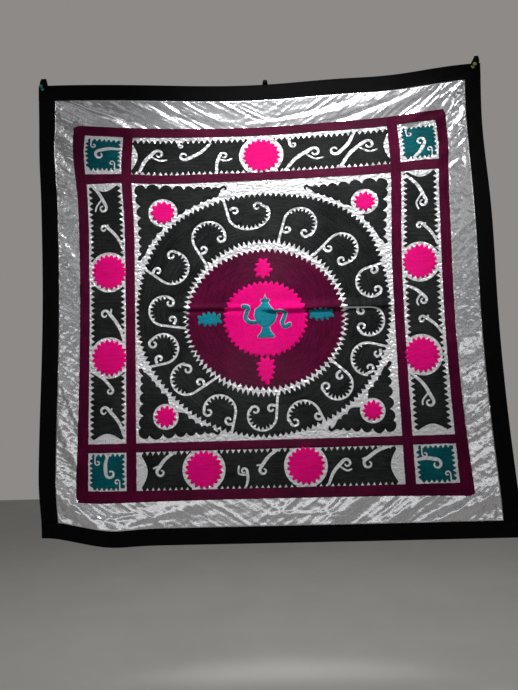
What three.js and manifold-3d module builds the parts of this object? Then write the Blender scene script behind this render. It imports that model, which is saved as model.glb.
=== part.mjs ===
// Embroidered satin wall hanging with a black border, hung by its top corners from two push pins.
// Millimetres, +Z up, the face towards -Y, the wall plane at Y = 0.
import * as THREE from 'three';
import Module from 'manifold-3d';

// Flat cloth, before it hangs: positions from the middle of the embroidered square
const CLOTH_LEFT = -576;
const CLOTH_RIGHT = 578;
const CLOTH_TOP = 603;
const CLOTH_BOTTOM = -586;
const SATIN_LEFT = -533;
const SATIN_RIGHT = 537;
const SATIN_TOP = 560;
const SATIN_BOTTOM = -546;
const SATIN_THICK = 1.5;
const BORDER_THICK = 2.0;
const SEAM_GAP = 0.34;

// How far the back of the cloth stands off the wall
const TOP_STANDOFF = 3.6;
const BOTTOM_STANDOFF = 13;
const STANDOFF_CURVE = 1.6;

// Cloth that stands off the wall is drawn in towards a point below its middle, by this share
const DRAW_IN = 1 / 1290;
const DRAW_TO_X = 30;
const DRAW_TO_Z = -225;

// The origin lies on the wall, half way between the two pins
const ORIGIN_X = -8;
const ORIGIN_Z = 592;

// Where the pins, the weight and the seams draw the flat cloth out of square
const pulls = [
  { name: 'top_left_corner', a: -577, b: 600, reachA: 170, reachB: 170, right: -5.1, up: 2.2 },
  { name: 'top_right_corner', a: 578, b: 600, reachA: 170, reachB: 170, right: -1.9, up: -0.2 },
  { name: 'bottom_left_corner', a: -577, b: -587, reachA: 110, reachB: 110, right: 11.4, up: 22.3 },
  { name: 'bottom_right_corner', a: 578, b: -587, reachA: 200, reachB: 200, right: 12.9, up: 0.7 },
  { name: 'top_sag', a: 0, b: 603, reachA: 330, reachB: 160, right: 0.7, up: -27.3 },
  { name: 'lower_sag', a: 0, b: 420, reachA: 380, reachB: 170, right: 2.5, up: -5.1 },
  { name: 'top_sag_right', a: 340, b: 600, reachA: 130, reachB: 120, right: 3.9, up: -10.6 },
  { name: 'left_waist', a: -577, b: 0, reachA: 170, reachB: 310, right: 9.4, up: 3.0 },
  { name: 'right_waist_high', a: 577, b: 420, reachA: 110, reachB: 150, right: -9.7, up: 4.7 },
  { name: 'right_waist', a: 500, b: -60, reachA: 170, reachB: 230, right: -5.3, up: 1.4 },
  { name: 'right_flare', a: 577, b: -420, reachA: 200, reachB: 200, right: 1.7, up: 0.5 },
  { name: 'band_top_right', a: 350, b: 290, reachA: 90, reachB: 130, right: 7.3, up: 0.9 },
  { name: 'band_top_left', a: -354, b: 340, reachA: 70, reachB: 90, right: -7.4, up: 6.4 },
  { name: 'square_top_left', a: -470, b: 400, reachA: 90, reachB: 80, right: -10.1, up: 15.7 },
  { name: 'square_top_right', a: 420, b: 390, reachA: 90, reachB: 80, right: 9.3, up: 10.5 },
  { name: 'left_puff', a: -540, b: -470, reachA: 60, reachB: 70, right: -1.2, up: 6.6 },
  { name: 'bottom_puff', a: -390, b: -560, reachA: 60, reachB: 45, right: 0, up: -6.3 },
];

// The main folds: soft ridges from one point of the flat cloth to another
const folds = [
  { name: 'top_left_main', a1: -532, b1: 556, a2: -330, b2: 462, lift: 6.5, width: 20 },
  { name: 'top_left_low', a1: -536, b1: 512, a2: -462, b2: 432, lift: 4.5, width: 15 },
  { name: 'left_high', a1: -538, b1: 440, a2: -462, b2: 318, lift: 4.5, width: 17 },
  { name: 'left_upper', a1: -532, b1: 330, a2: -466, b2: 226, lift: 4, width: 15 },
  { name: 'left_middle', a1: -532, b1: 190, a2: -466, b2: 50, lift: 4.5, width: 17 },
  { name: 'left_lower', a1: -534, b1: -170, a2: -462, b2: -318, lift: 5.5, width: 15 },
  { name: 'left_low', a1: -534, b1: -270, a2: -462, b2: -420, lift: 4.5, width: 15 },
  { name: 'top_left_soft', a1: -350, b1: 548, a2: -180, b2: 468, lift: 3, width: 18 },
  { name: 'top_right_soft', a1: 110, b1: 486, a2: 330, b2: 548, lift: 3.5, width: 17 },
  { name: 'top_right_long', a1: 220, b1: 470, a2: 450, b2: 556, lift: 4.5, width: 17 },
  { name: 'top_right_main', a1: 380, b1: 462, a2: 520, b2: 560, lift: 8, width: 17 },
  { name: 'top_right_steep', a1: 462, b1: 452, a2: 536, b2: 550, lift: 7, width: 14 },
  { name: 'right_high', a1: 462, b1: 356, a2: 534, b2: 470, lift: 6.5, width: 16 },
  { name: 'right_upper', a1: 462, b1: 290, a2: 534, b2: 392, lift: 5, width: 15 },
  { name: 'right_step_a', a1: 458, b1: -118, a2: 540, b2: -90, lift: 5, width: 13 },
  { name: 'right_step_b', a1: 458, b1: -186, a2: 540, b2: -160, lift: 4, width: 13 },
  { name: 'right_step_c', a1: 458, b1: -254, a2: 540, b2: -234, lift: 5, width: 13 },
  { name: 'right_step_d', a1: 458, b1: -336, a2: 540, b2: -292, lift: 5, width: 15 },
  { name: 'right_step_e', a1: 458, b1: -420, a2: 545, b2: -380, lift: 4, width: 15 },
  { name: 'bottom_right_main', a1: 370, b1: -548, a2: 556, b2: -474, lift: 7, width: 15 },
  { name: 'bottom_right_soft', a1: 250, b1: -548, a2: 390, b2: -478, lift: 3.5, width: 15 },
  { name: 'bottom_middle', a1: 120, b1: -550, a2: 240, b2: -474, lift: 4.5, width: 15 },
  { name: 'bottom_left_soft', a1: -360, b1: -540, a2: -190, b2: -492, lift: 3.5, width: 16 },
  { name: 'bottom_left_puff', a1: -556, b1: -452, a2: -400, b2: -560, lift: 13, width: 30 },
  { name: 'square_high', a1: -300, b1: 250, a2: 250, b2: 300, lift: 3, width: 90 },
  { name: 'square_low', a1: -330, b1: -300, a2: 330, b2: -250, lift: 4, width: 110 },
];

// The cloth overlaps itself a little in one level pleat, right of the middle
const PLEAT = { from: -30, to: 340, level: -12, fade: 50, lift: 5.5, width: 9, droop: 5 };

// Cells of the cloth across and down, finer where it folds
const acrossCells = [
  { end: -475, cells: 5 },
  { end: -410, cells: 3 },
  { end: 410, cells: 24 },
  { end: 474, cells: 3 },
  { end: SATIN_RIGHT, cells: 5 },
];
const downCells = [
  { end: 478, cells: 6 },
  { end: 410, cells: 3 },
  { end: 10, cells: 12 },
  { end: -26, cells: 4 },
  { end: -410, cells: 11 },
  { end: -482, cells: 3 },
  { end: SATIN_BOTTOM, cells: 5 },
];
const STRIP_CELLS = 3;

// Loops of folded tape over the top edge
const TAPE_THICK = 1.1;
const LOOP_HALF_DEPTH = 4.0;
const LOOP_LEG = 8;
const LOOP_LEG_THICK = 2.0;
const LOOP_CLEAR = 0.32;
const LOOP_RISE = 0.4;
const LOOP_STEPS = 22;
const loops = [
  { name: 'loop_left', a: -563, wide: 20, tip: 12, high: 19, lean: 0.04 },
  { name: 'loop_centre', a: 18, wide: 14, tip: 9, high: 12.5, lean: 0 },
  { name: 'loop_right', a: 565, wide: 20, tip: 9, high: 19.5, lean: 0.2 },
];

// Push pins: radius along the axis, from the back of the flange to the domed end
const NEEDLE_RADIUS = 0.55;
const NEEDLE_REACH = 10;
const NEEDLE_IN_HEAD = 7;
const FIT_GAP = 0.3;
const FLANGE_RADIUS = 4.7;
const pinProfile = [
  { along: 0, radius: FLANGE_RADIUS - 0.7 },
  { along: 0.5, radius: FLANGE_RADIUS },
  { along: 1.5, radius: FLANGE_RADIUS },
  { along: 2.1, radius: FLANGE_RADIUS - 0.9 },
  { along: 3.2, radius: 2.7 },
  { along: 6.2, radius: 2.4 },
  { along: 8.4, radius: 3.1 },
  { along: 9.6, radius: 4.3 },
  { along: 10.2, radius: 4.7 },
  { along: 11.8, radius: 4.7 },
  { along: 12.5, radius: 4.2 },
  { along: 12.9, radius: 2.6 },
];
const PIN_LENGTH = 13;
const pins = [
  { side: 'left', a: -564, b: 591, right: -0.03, up: 0.27, color: 0x0f7f80 },
  { side: 'right', a: 557, b: 591, right: 0.16, up: 0.2, color: 0x8f9c4a },
];

const satinLook = new THREE.MeshStandardMaterial({ color: 0xdcdcda, roughness: 0.35 });
const cottonLook = new THREE.MeshStandardMaterial({ color: 0x0a0a0c, roughness: 0.9 });
const tapeLook = new THREE.MeshStandardMaterial({ color: 0x0c0c0e, roughness: 0.85 });
const steelLook = new THREE.MeshStandardMaterial({ color: 0xb8bbbe, roughness: 0.25, metalness: 1 });

const smooth = (t) => {
  const s = Math.min(1, Math.max(0, t));
  return s * s * (3 - 2 * s);
};

// Height of one fold over a point of the flat cloth, fading at its ends
function foldHeight(fold, a, b) {
  const runA = fold.a2 - fold.a1;
  const runB = fold.b2 - fold.b1;
  const long = Math.hypot(runA, runB);
  const along = ((a - fold.a1) * runA + (b - fold.b1) * runB) / long;
  const across = ((b - fold.b1) * runA - (a - fold.a1) * runB) / long;
  const over = Math.max(0, -along, along - long) / (fold.width * 1.2);
  return fold.lift * Math.exp(-((across / fold.width) ** 2) - over * over);
}

// Folds die out over the outer half of the strips, and most of all at the top, where the pins hold
function foldStrength(a, b) {
  const top = smooth((CLOTH_TOP - 14 - b) / 34);
  const sides = smooth((Math.min(a - CLOTH_LEFT, CLOTH_RIGHT - a) + 22) / 60);
  const foot = smooth((b - CLOTH_BOTTOM + 22) / 60);
  return top * sides * foot;
}

function pleatAt(a, b) {
  const ends = smooth((a - PLEAT.from) / PLEAT.fade) * smooth((PLEAT.to - a) / PLEAT.fade);
  return ends * Math.exp(-(((b - PLEAT.level) / PLEAT.width) ** 2));
}

// The middle layer of the hung cloth
function hung(a, b) {
  let x = a;
  let z = b;
  for (const pull of pulls) {
    const share = Math.exp(-(((a - pull.a) / pull.reachA) ** 2) - ((b - pull.b) / pull.reachB) ** 2);
    x += share * pull.right;
    z += share * pull.up;
  }
  const fall = Math.min(1, Math.max(0, (CLOTH_TOP - b) / (CLOTH_TOP - CLOTH_BOTTOM)));
  let off = TOP_STANDOFF + (BOTTOM_STANDOFF - TOP_STANDOFF) * fall ** STANDOFF_CURVE;
  const strength = foldStrength(a, b);
  for (const fold of folds) {
    off += strength * foldHeight(fold, a, b);
  }
  const pleat = pleatAt(a, b);
  off += PLEAT.lift * pleat;
  z -= PLEAT.droop * pleat;
  x -= (x - DRAW_TO_X) * off * DRAW_IN;
  z -= (z - DRAW_TO_Z) * off * DRAW_IN;
  return new THREE.Vector3(x - ORIGIN_X, -off - BORDER_THICK / 2, z - ORIGIN_Z);
}

// The direction out of the face of the cloth
function outward(a, b) {
  const reach = 6;
  const acrossCloth = hung(a + reach, b).sub(hung(a - reach, b));
  const upCloth = hung(a, b + reach).sub(hung(a, b - reach));
  return acrossCloth.cross(upCloth).normalize();
}

// Cell lines from a start through the listed ends
function cellLines(start, parts) {
  const lines = [start];
  for (const part of parts) {
    const from = lines[lines.length - 1];
    for (let i = 1; i <= part.cells; i += 1) {
      lines.push(from + ((part.end - from) * i) / part.cells);
    }
  }
  return lines;
}

// A closed sheet over the given cell lines, a rising and b falling
function sheet(aLines, bLines, thick) {
  const across = aLines.length;
  const down = bLines.length;
  const positions = [];
  for (const side of [1, -1]) {
    for (const b of bLines) {
      for (const a of aLines) {
        const point = hung(a, b).addScaledVector(outward(a, b), (side * thick) / 2);
        positions.push(point.x, point.y, point.z);
      }
    }
  }
  const back = across * down;
  const index = [];
  const quad = (p, q, r, s) => index.push(p, q, r, p, r, s);
  for (let j = 0; j + 1 < down; j += 1) {
    for (let i = 0; i + 1 < across; i += 1) {
      const p = j * across + i;
      quad(p, p + across, p + across + 1, p + 1);
      quad(back + p, back + p + 1, back + p + across + 1, back + p + across);
    }
  }
  for (let i = 0; i + 1 < across; i += 1) {
    const foot = (down - 1) * across + i;
    quad(i, i + 1, back + i + 1, back + i);
    quad(foot + 1, foot, back + foot, back + foot + 1);
  }
  for (let j = 0; j + 1 < down; j += 1) {
    const left = j * across;
    const right = left + across - 1;
    quad(left + across, left, back + left, back + left + across);
    quad(right, right + across, back + right + across, back + right);
  }
  const geometry = new THREE.BufferGeometry();
  geometry.setAttribute('position', new THREE.Float32BufferAttribute(positions, 3));
  geometry.setIndex(index);
  return geometry;
}

function piece(name, geometry, material) {
  const mesh = new THREE.Mesh(geometry, material.clone());
  mesh.name = name;
  return mesh;
}

// Joins equal corners, so that a turned or extruded shape is a closed mesh that faces outwards
function closed(geometry) {
  const source = geometry.index ? geometry.toNonIndexed() : geometry;
  const from = source.attributes.position;
  const known = new Map();
  const positions = [];
  const index = [];
  for (let i = 0; i < from.count; i += 1) {
    const at = [from.getX(i), from.getY(i), from.getZ(i)];
    const key = at.map((value) => Math.round(value * 1e4)).join(' ');
    if (!known.has(key)) {
      known.set(key, positions.length / 3);
      positions.push(...at);
    }
    index.push(known.get(key));
  }
  const kept = [];
  for (let i = 0; i < index.length; i += 3) {
    const [p, q, r] = index.slice(i, i + 3);
    if (p !== q && q !== r && r !== p) {
      kept.push(p, q, r);
    }
  }
  const corner = (n) => new THREE.Vector3().fromArray(positions, kept[n] * 3);
  let volume = 0;
  for (let i = 0; i < kept.length; i += 3) {
    volume += corner(i).dot(corner(i + 1).cross(corner(i + 2)));
  }
  const result = new THREE.BufferGeometry();
  result.setAttribute('position', new THREE.Float32BufferAttribute(positions, 3));
  result.setIndex(volume < 0 ? kept.reverse() : kept);
  return result;
}

// One loop: two legs sewn together behind the strip and a rounded eye above the edge
function tapeLoop(loop) {
  const edge = hung(loop.a, CLOTH_TOP);
  const leftEdge = hung(loop.a - loop.wide / 2, CLOTH_TOP);
  const rightEdge = hung(loop.a + loop.wide / 2, CLOTH_TOP);
  const slope = (rightEdge.z - leftEdge.z) / (rightEdge.x - leftEdge.x);
  const legFront = -TOP_STANDOFF + LOOP_CLEAR;
  const legBack = legFront + LOOP_LEG_THICK;
  const eyeY = legBack - LOOP_HALF_DEPTH + 0.6;
  const halfHigh = (loop.high - LOOP_RISE) / 2;
  const eyeZ = LOOP_RISE + halfHigh;
  const start = Math.asin((legBack - eyeY) / LOOP_HALF_DEPTH);
  const end = 2 * Math.PI + Math.asin((legFront - eyeY) / LOOP_HALF_DEPTH);
  const outline = [new THREE.Vector2(legFront, -LOOP_LEG), new THREE.Vector2(legBack, -LOOP_LEG)];
  for (let i = 0; i <= LOOP_STEPS; i += 1) {
    const turn = start + ((end - start) * i) / LOOP_STEPS;
    const depth = LOOP_HALF_DEPTH * Math.sin(turn);
    outline.push(new THREE.Vector2(eyeY + depth, eyeZ - halfHigh * Math.cos(turn)));
  }
  const shape = new THREE.Shape(outline);
  const eye = [];
  for (let i = 0; i < LOOP_STEPS; i += 1) {
    const turn = (2 * Math.PI * i) / LOOP_STEPS;
    const depth = (LOOP_HALF_DEPTH - TAPE_THICK) * Math.cos(turn);
    const height = (halfHigh - TAPE_THICK) * Math.sin(turn);
    eye.push(new THREE.Vector2(eyeY + depth, eyeZ + height));
  }
  shape.holes.push(new THREE.Path(eye));
  const body = new THREE.ExtrudeGeometry(shape, { depth: loop.wide, steps: 1, bevelEnabled: false });
  const at = body.attributes.position;
  for (let i = 0; i < at.count; i += 1) {
    const z = at.getY(i);
    const narrow = THREE.MathUtils.lerp(1, loop.tip / loop.wide, smooth(z / loop.high));
    const x = (at.getZ(i) - loop.wide / 2) * narrow + Math.max(0, z) * loop.lean;
    at.setXYZ(i, edge.x + x, at.getX(i), edge.z + z + slope * x);
  }
  return closed(body);
}

// Turns a shape made along +Z into the pin's direction and puts it at the pin's point
function alongPin(geometry, pin) {
  const direction = new THREE.Vector3(pin.right, -1, pin.up).normalize();
  const turn = new THREE.Quaternion().setFromUnitVectors(new THREE.Vector3(0, 0, 1), direction);
  const tilt = Math.hypot(pin.right, pin.up) / Math.hypot(pin.right, 1, pin.up);
  const clear = FIT_GAP + tilt * (FLANGE_RADIUS - 0.4);
  const face = hung(pin.a, pin.b).addScaledVector(outward(pin.a, pin.b), BORDER_THICK / 2);
  const back = face.addScaledVector(direction, clear / Math.abs(direction.y));
  geometry.applyQuaternion(turn);
  geometry.translate(back.x, back.y, back.z);
  return geometry;
}

// A closed turned shape about Z from [radius, along] pairs that start and end on the axis
function turned(pairs, segments) {
  const outline = pairs.map(([radius, along]) => new THREE.Vector2(radius, along));
  return closed(new THREE.LatheGeometry(outline, segments).rotateX(Math.PI / 2));
}

function pinHead(pin) {
  const bore = NEEDLE_RADIUS + FIT_GAP;
  const pairs = [[0, NEEDLE_IN_HEAD + FIT_GAP], [bore, NEEDLE_IN_HEAD + FIT_GAP], [bore, 0]];
  for (const ring of pinProfile) {
    pairs.push([ring.radius, ring.along]);
  }
  pairs.push([0, PIN_LENGTH]);
  return alongPin(turned(pairs, 24), pin);
}

function needle(pin) {
  const tip = -NEEDLE_REACH;
  const pairs = [[0, tip], [NEEDLE_RADIUS, tip + 2.2], [NEEDLE_RADIUS, NEEDLE_IN_HEAD], [0, NEEDLE_IN_HEAD]];
  return alongPin(turned(pairs, 12), pin);
}

// Cuts the holes that the needles made out of the top strip
function pierce(strip, wasm) {
  const solid = (geometry) => new wasm.Manifold(new wasm.Mesh({
    numProp: 3,
    vertProperties: new Float32Array(geometry.attributes.position.array),
    triVerts: new Uint32Array(geometry.index.array),
  }));
  let cut = solid(strip);
  for (const pin of pins) {
    const hole = NEEDLE_RADIUS + FIT_GAP;
    const drill = turned([[0, -NEEDLE_REACH], [hole, -NEEDLE_REACH], [hole, 3], [0, 3]], 12);
    cut = cut.subtract(solid(alongPin(drill, pin)));
  }
  const mesh = cut.getMesh();
  const geometry = new THREE.BufferGeometry();
  geometry.setAttribute('position', new THREE.Float32BufferAttribute(mesh.vertProperties, 3));
  geometry.setIndex(Array.from(mesh.triVerts));
  return geometry;
}

const wasm = await Module();
wasm.setup();

const half = SEAM_GAP / 2;
const insideA = cellLines(SATIN_LEFT, acrossCells);
const insideB = cellLines(SATIN_TOP, downCells);
const trimmed = (lines, step) => lines.map((value, i) => {
  if (i === 0) return value + step * half;
  if (i === lines.length - 1) return value - step * half;
  return value;
});
const satinA = trimmed(insideA, 1);
const satinB = trimmed(insideB, -1);
const leftA = cellLines(CLOTH_LEFT, [{ end: SATIN_LEFT - half, cells: STRIP_CELLS }]);
const rightA = cellLines(SATIN_RIGHT + half, [{ end: CLOTH_RIGHT, cells: STRIP_CELLS }]);
const topB = cellLines(CLOTH_TOP, [{ end: SATIN_TOP + half, cells: STRIP_CELLS }]);
const bottomB = cellLines(SATIN_BOTTOM - half, [{ end: CLOTH_BOTTOM, cells: STRIP_CELLS }]);
const fullA = [...leftA.slice(0, -1), ...insideA, ...rightA.slice(1)];

const hanging = new THREE.Group();
hanging.name = 'wall_hanging';
hanging.add(piece('satin_ground', sheet(satinA, satinB, SATIN_THICK), satinLook));
hanging.add(piece('border_top', pierce(sheet(fullA, topB, BORDER_THICK), wasm), cottonLook));
hanging.add(piece('border_bottom', sheet(fullA, bottomB, BORDER_THICK), cottonLook));
hanging.add(piece('border_left', sheet(leftA, satinB, BORDER_THICK), cottonLook));
hanging.add(piece('border_right', sheet(rightA, satinB, BORDER_THICK), cottonLook));
for (const loop of loops) {
  hanging.add(piece(loop.name, tapeLoop(loop), tapeLook));
}
for (const pin of pins) {
  const plastic = new THREE.MeshStandardMaterial({ color: pin.color, roughness: 0.3 });
  hanging.add(piece(`pin_${pin.side}`, pinHead(pin), plastic));
  hanging.add(piece(`needle_${pin.side}`, needle(pin), steelLook));
}

export default hanging;
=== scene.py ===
# %% [markdown]
# # A suzani wall hanging, sewn flat and then hung from two pins
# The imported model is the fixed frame: a square of satin, four black strips, three tape loops and two push
# pins. This script gives each of them its finish. Every piece of cloth is first made flat, in millimetres
# on the cutting table, and one function then hangs it in the same shape that the frame has.

import math

import bmesh
import bpy
import numpy as np
from mathutils import Matrix, Vector
from mathutils.geometry import delaunay_2d_cdt


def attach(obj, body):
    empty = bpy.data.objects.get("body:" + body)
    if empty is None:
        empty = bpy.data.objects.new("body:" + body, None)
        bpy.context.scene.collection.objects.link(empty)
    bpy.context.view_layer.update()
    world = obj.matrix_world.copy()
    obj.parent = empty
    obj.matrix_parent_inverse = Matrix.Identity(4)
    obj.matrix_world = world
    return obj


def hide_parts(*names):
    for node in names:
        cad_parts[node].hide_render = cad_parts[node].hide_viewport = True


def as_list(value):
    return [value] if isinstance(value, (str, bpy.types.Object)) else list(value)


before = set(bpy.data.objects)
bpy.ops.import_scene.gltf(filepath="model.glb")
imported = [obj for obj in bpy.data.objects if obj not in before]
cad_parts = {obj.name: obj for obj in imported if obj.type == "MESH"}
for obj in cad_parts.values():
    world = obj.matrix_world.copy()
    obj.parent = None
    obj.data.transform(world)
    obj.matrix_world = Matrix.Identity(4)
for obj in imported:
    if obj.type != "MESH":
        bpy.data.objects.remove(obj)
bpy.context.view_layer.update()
MM = 0.001
print("frame nodes:", ", ".join(sorted(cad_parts)))

# %% [markdown]
# ## The flat cloth
# On the table the cloth is a plain square. Its positions are counted from the middle of the embroidered
# square: a to the right and b upwards. The pins, the weight and the seams then pull it out of square,
# which the table of pulls says in plain words, and it bends in soft folds, each a ridge from one point to
# another.

# %% Sizes of the flat cloth, in millimetres
CLOTH = {"left": -576, "right": 578, "top": 603, "bottom": -586}
SATIN = {"left": -533, "right": 537, "top": 560, "bottom": -546}
SEAM = 0.17
SATIN_HALF = 0.7
BORDER_HALF = 1.0
TOP_STANDOFF = 3.6
BOTTOM_STANDOFF = 13
STANDOFF_CURVE = 1.6
DRAW_IN = 1 / 1290
DRAW_TO = (30, -225)
ORIGIN = (-8, 592)

PULLS = [
    # where (a, b), how far it reaches (across, up and down), how much it pulls (right, up)
    ("top left corner", -577, 600, 170, 170, -5.1, 2.2),
    ("top right corner", 578, 600, 170, 170, -1.9, -0.2),
    ("bottom left corner", -577, -587, 110, 110, 11.4, 22.3),
    ("bottom right corner", 578, -587, 200, 200, 12.9, 0.7),
    ("top sag", 0, 603, 330, 160, 0.7, -27.3),
    ("lower sag", 0, 420, 380, 170, 2.5, -5.1),
    ("top sag right", 340, 600, 130, 120, 3.9, -10.6),
    ("left waist", -577, 0, 170, 310, 9.4, 3.0),
    ("right waist high", 577, 420, 110, 150, -9.7, 4.7),
    ("right waist", 500, -60, 170, 230, -5.3, 1.4),
    ("right flare", 577, -420, 200, 200, 1.7, 0.5),
    ("band top right", 350, 290, 90, 130, 7.3, 0.9),
    ("band top left", -354, 340, 70, 90, -7.4, 6.4),
    ("square top left", -470, 400, 90, 80, -10.1, 15.7),
    ("square top right", 420, 390, 90, 80, 9.3, 10.5),
    ("left puff", -540, -470, 60, 70, -1.2, 6.6),
    ("bottom puff", -390, -560, 60, 45, 0, -6.3),
]

FOLDS = [
    # one end (a, b), the other end (a, b), lift and half width
    ("top left main", -532, 556, -330, 462, 6.5, 20),
    ("top left low", -536, 512, -462, 432, 4.5, 15),
    ("left high", -538, 440, -462, 318, 4.5, 17),
    ("left upper", -532, 330, -466, 226, 4, 15),
    ("left middle", -532, 190, -466, 50, 4.5, 17),
    ("left lower", -534, -170, -462, -318, 5.5, 15),
    ("left low", -534, -270, -462, -420, 4.5, 15),
    ("top left soft", -350, 548, -180, 468, 3, 18),
    ("top right soft", 110, 486, 330, 548, 3.5, 17),
    ("top right long", 220, 470, 450, 556, 4.5, 17),
    ("top right main", 380, 462, 520, 560, 8, 17),
    ("top right steep", 462, 452, 536, 550, 7, 14),
    ("right high", 462, 356, 534, 470, 6.5, 16),
    ("right upper", 462, 290, 534, 392, 5, 15),
    ("right step a", 458, -118, 540, -90, 5, 13),
    ("right step b", 458, -186, 540, -160, 4, 13),
    ("right step c", 458, -254, 540, -234, 5, 13),
    ("right step d", 458, -336, 540, -292, 5, 15),
    ("right step e", 458, -420, 545, -380, 4, 15),
    ("bottom right main", 370, -548, 556, -474, 7, 15),
    ("bottom right soft", 250, -548, 390, -478, 3.5, 15),
    ("bottom middle", 120, -550, 240, -474, 4.5, 15),
    ("bottom left soft", -360, -540, -190, -492, 3.5, 16),
    ("bottom left puff", -556, -452, -400, -560, 13, 30),
    ("square high", -300, 250, 250, 300, 3, 90),
    ("square low", -330, -300, 330, -250, 4, 110),
]

CREASES = [
    # finer creases of the thin satin between the stitching and the black strips, a minus lift is a groove
    ("top left crest", -518, 560, -352, 480, 2.2, 6),
    ("top left groove", -538, 550, -450, 490, -1.8, 5),
    ("top left groove low", -532, 530, -448, 482, -1.4, 4),
    ("top left next", -450, 550, -330, 512, 1.6, 7),
    ("top left next groove", -440, 536, -312, 496, -1.4, 5),
    ("top left shallow", -200, 532, -80, 494, 1.2, 9),
    ("top left shallow groove", -250, 524, -120, 482, -0.9, 8),
    ("top middle curve", -30, 486, 200, 512, 1.4, 7),
    ("top middle groove", 40, 500, 240, 540, -1.2, 6),
    ("top right rise", 160, 484, 330, 536, 1.3, 6),
    ("top right rise groove", 210, 484, 370, 544, -1.5, 5),
    ("top right band", 404, 488, 520, 556, -3.4, 7),
    ("top right streak", 468, 486, 532, 558, 2.2, 5),
    ("top right line", 476, 476, 508, 512, -1.8, 4),
    ("right high groove", 480, 452, 532, 540, -3.0, 6),
    ("right high crease", 478, 382, 528, 432, -2.6, 5),
    ("right upper crease", 478, 330, 532, 362, -2.2, 5),
    ("right upper ridge", 478, 262, 518, 332, 2.0, 6),
    ("right crumple", 484, 186, 512, 252, -1.8, 5),
    ("right crumple ridge", 490, 150, 520, 215, 1.4, 5),
    ("right middle", 482, 60, 524, 120, 1.2, 6),
    ("right middle groove", 482, 10, 526, 60, -1.0, 5),
    ("right low a", 478, -108, 536, -92, -2.2, 4),
    ("right low b", 478, -128, 536, -112, 1.6, 4),
    ("right low c", 478, -160, 536, -142, -2.2, 4),
    ("right low d", 478, -188, 536, -168, 1.6, 4),
    ("right low e", 478, -232, 536, -210, -2.4, 4),
    ("right low f", 478, -262, 536, -240, 1.8, 5),
    ("right low g", 478, -302, 536, -274, -2.4, 5),
    ("right low h", 478, -346, 536, -314, 2.0, 5),
    ("right low i", 478, -424, 536, -392, -2.2, 5),
    ("right low j", 478, -446, 536, -410, 1.6, 5),
    ("left wrinkle a", -536, 522, -486, 498, -2.0, 4),
    ("left wrinkle b", -536, 472, -478, 436, -2.2, 4),
    ("left wrinkle c", -532, 420, -478, 332, -2.0, 5),
    ("left wrinkle d", -532, 384, -480, 300, 1.4, 5),
    ("left wrinkle e", -532, 334, -474, 244, -1.8, 5),
    ("left wrinkle f", -530, 216, -494, 160, -1.6, 5),
    ("left wrinkle g", -528, 152, -478, 72, 1.6, 5),
    ("left wrinkle h", -524, 60, -484, -20, -1.2, 5),
    ("left wrinkle i", -524, -206, -484, -296, -2.2, 5),
    ("left wrinkle j", -524, -286, -479, -342, 2.0, 5),
    ("left wrinkle k", -532, -360, -474, -412, -1.8, 5),
    ("left wrinkle l", -536, -424, -479, -476, -2.2, 5),
    ("puff edge", -538, -468, -520, -522, -4.5, 7),
    ("puff foot", -520, -522, -440, -552, -4.5, 7),
    ("bottom left ridge", -424, -522, -338, -512, 2.2, 5),
    ("bottom left groove", -342, -538, -238, -520, -2.0, 5),
    ("bottom middle crease", -24, -548, 0, -484, -1.6, 4),
    ("bottom level", 0, -519, 172, -515, 1.2, 4),
    ("bottom rise a", 138, -542, 222, -494, -2.0, 5),
    ("bottom rise b", 234, -532, 282, -484, 1.8, 5),
    ("bottom rise c", 358, -542, 392, -514, -2.2, 5),
    ("bottom rise d", 398, -542, 486, -484, 2.4, 5),
    ("bottom rise e", 498, -512, 546, -464, -2.4, 5),
    ("bottom upright", 524, -542, 526, -508, -1.6, 4),
    ("middle left ridge", -230, -6, -40, -10, 2.4, 6),
    ("middle left groove", -220, -18, -60, -20, -1.4, 5),
]

PLEAT = {"start": -30, "end": 340, "level": -12, "fade": 50, "lift": 5.5, "width": 9, "droop": 5}
print(len(PULLS), "pulls,", len(FOLDS), "folds and", len(CREASES), "creases")

# %% [markdown]
# ## Folds and unevenness
# A fold is a soft ridge along a line, and a crease is a narrow one. The bare satin is also a little
# uneven everywhere, as the seams gather it. These functions give that height for thousands of points at
# once, which is why they use numpy.

# %% Height of the folds
CRUMPLE_FROM = (470, 474)
CRUMPLE_FADE = 14


def smooth(t):
    t = np.clip(t, 0, 1)
    return t * t * (3 - 2 * t)


def ridges(table, a, b):
    """The summed height of every fold in a table over the points a, b of the flat cloth."""
    total = np.zeros_like(a)
    for _, a1, b1, a2, b2, lift, width in table:
        run_a, run_b = a2 - a1, b2 - b1
        long = math.hypot(run_a, run_b)
        along = ((a - a1) * run_a + (b - b1) * run_b) / long
        across = ((b - b1) * run_a - (a - a1) * run_b) / long
        over = np.maximum(0, np.maximum(-along, along - long)) / (width * 1.2)
        total += lift * np.exp(-((across / width) ** 2) - over * over)
    return total


def lattice_noise(a, b, size, seed):
    """Smooth unevenness between -1 and 1, from random numbers at the corners of square cells."""
    table = np.random.default_rng(seed).uniform(-1, 1, (64, 64))
    u, v = a / size, b / size
    i, j = np.floor(u).astype(int), np.floor(v).astype(int)
    s, t = smooth(u - i), smooth(v - j)
    low = table[i % 64, j % 64] * (1 - s) + table[(i + 1) % 64, j % 64] * s
    high = table[i % 64, (j + 1) % 64] * (1 - s) + table[(i + 1) % 64, (j + 1) % 64] * s
    return low * (1 - t) + high * t


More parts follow.
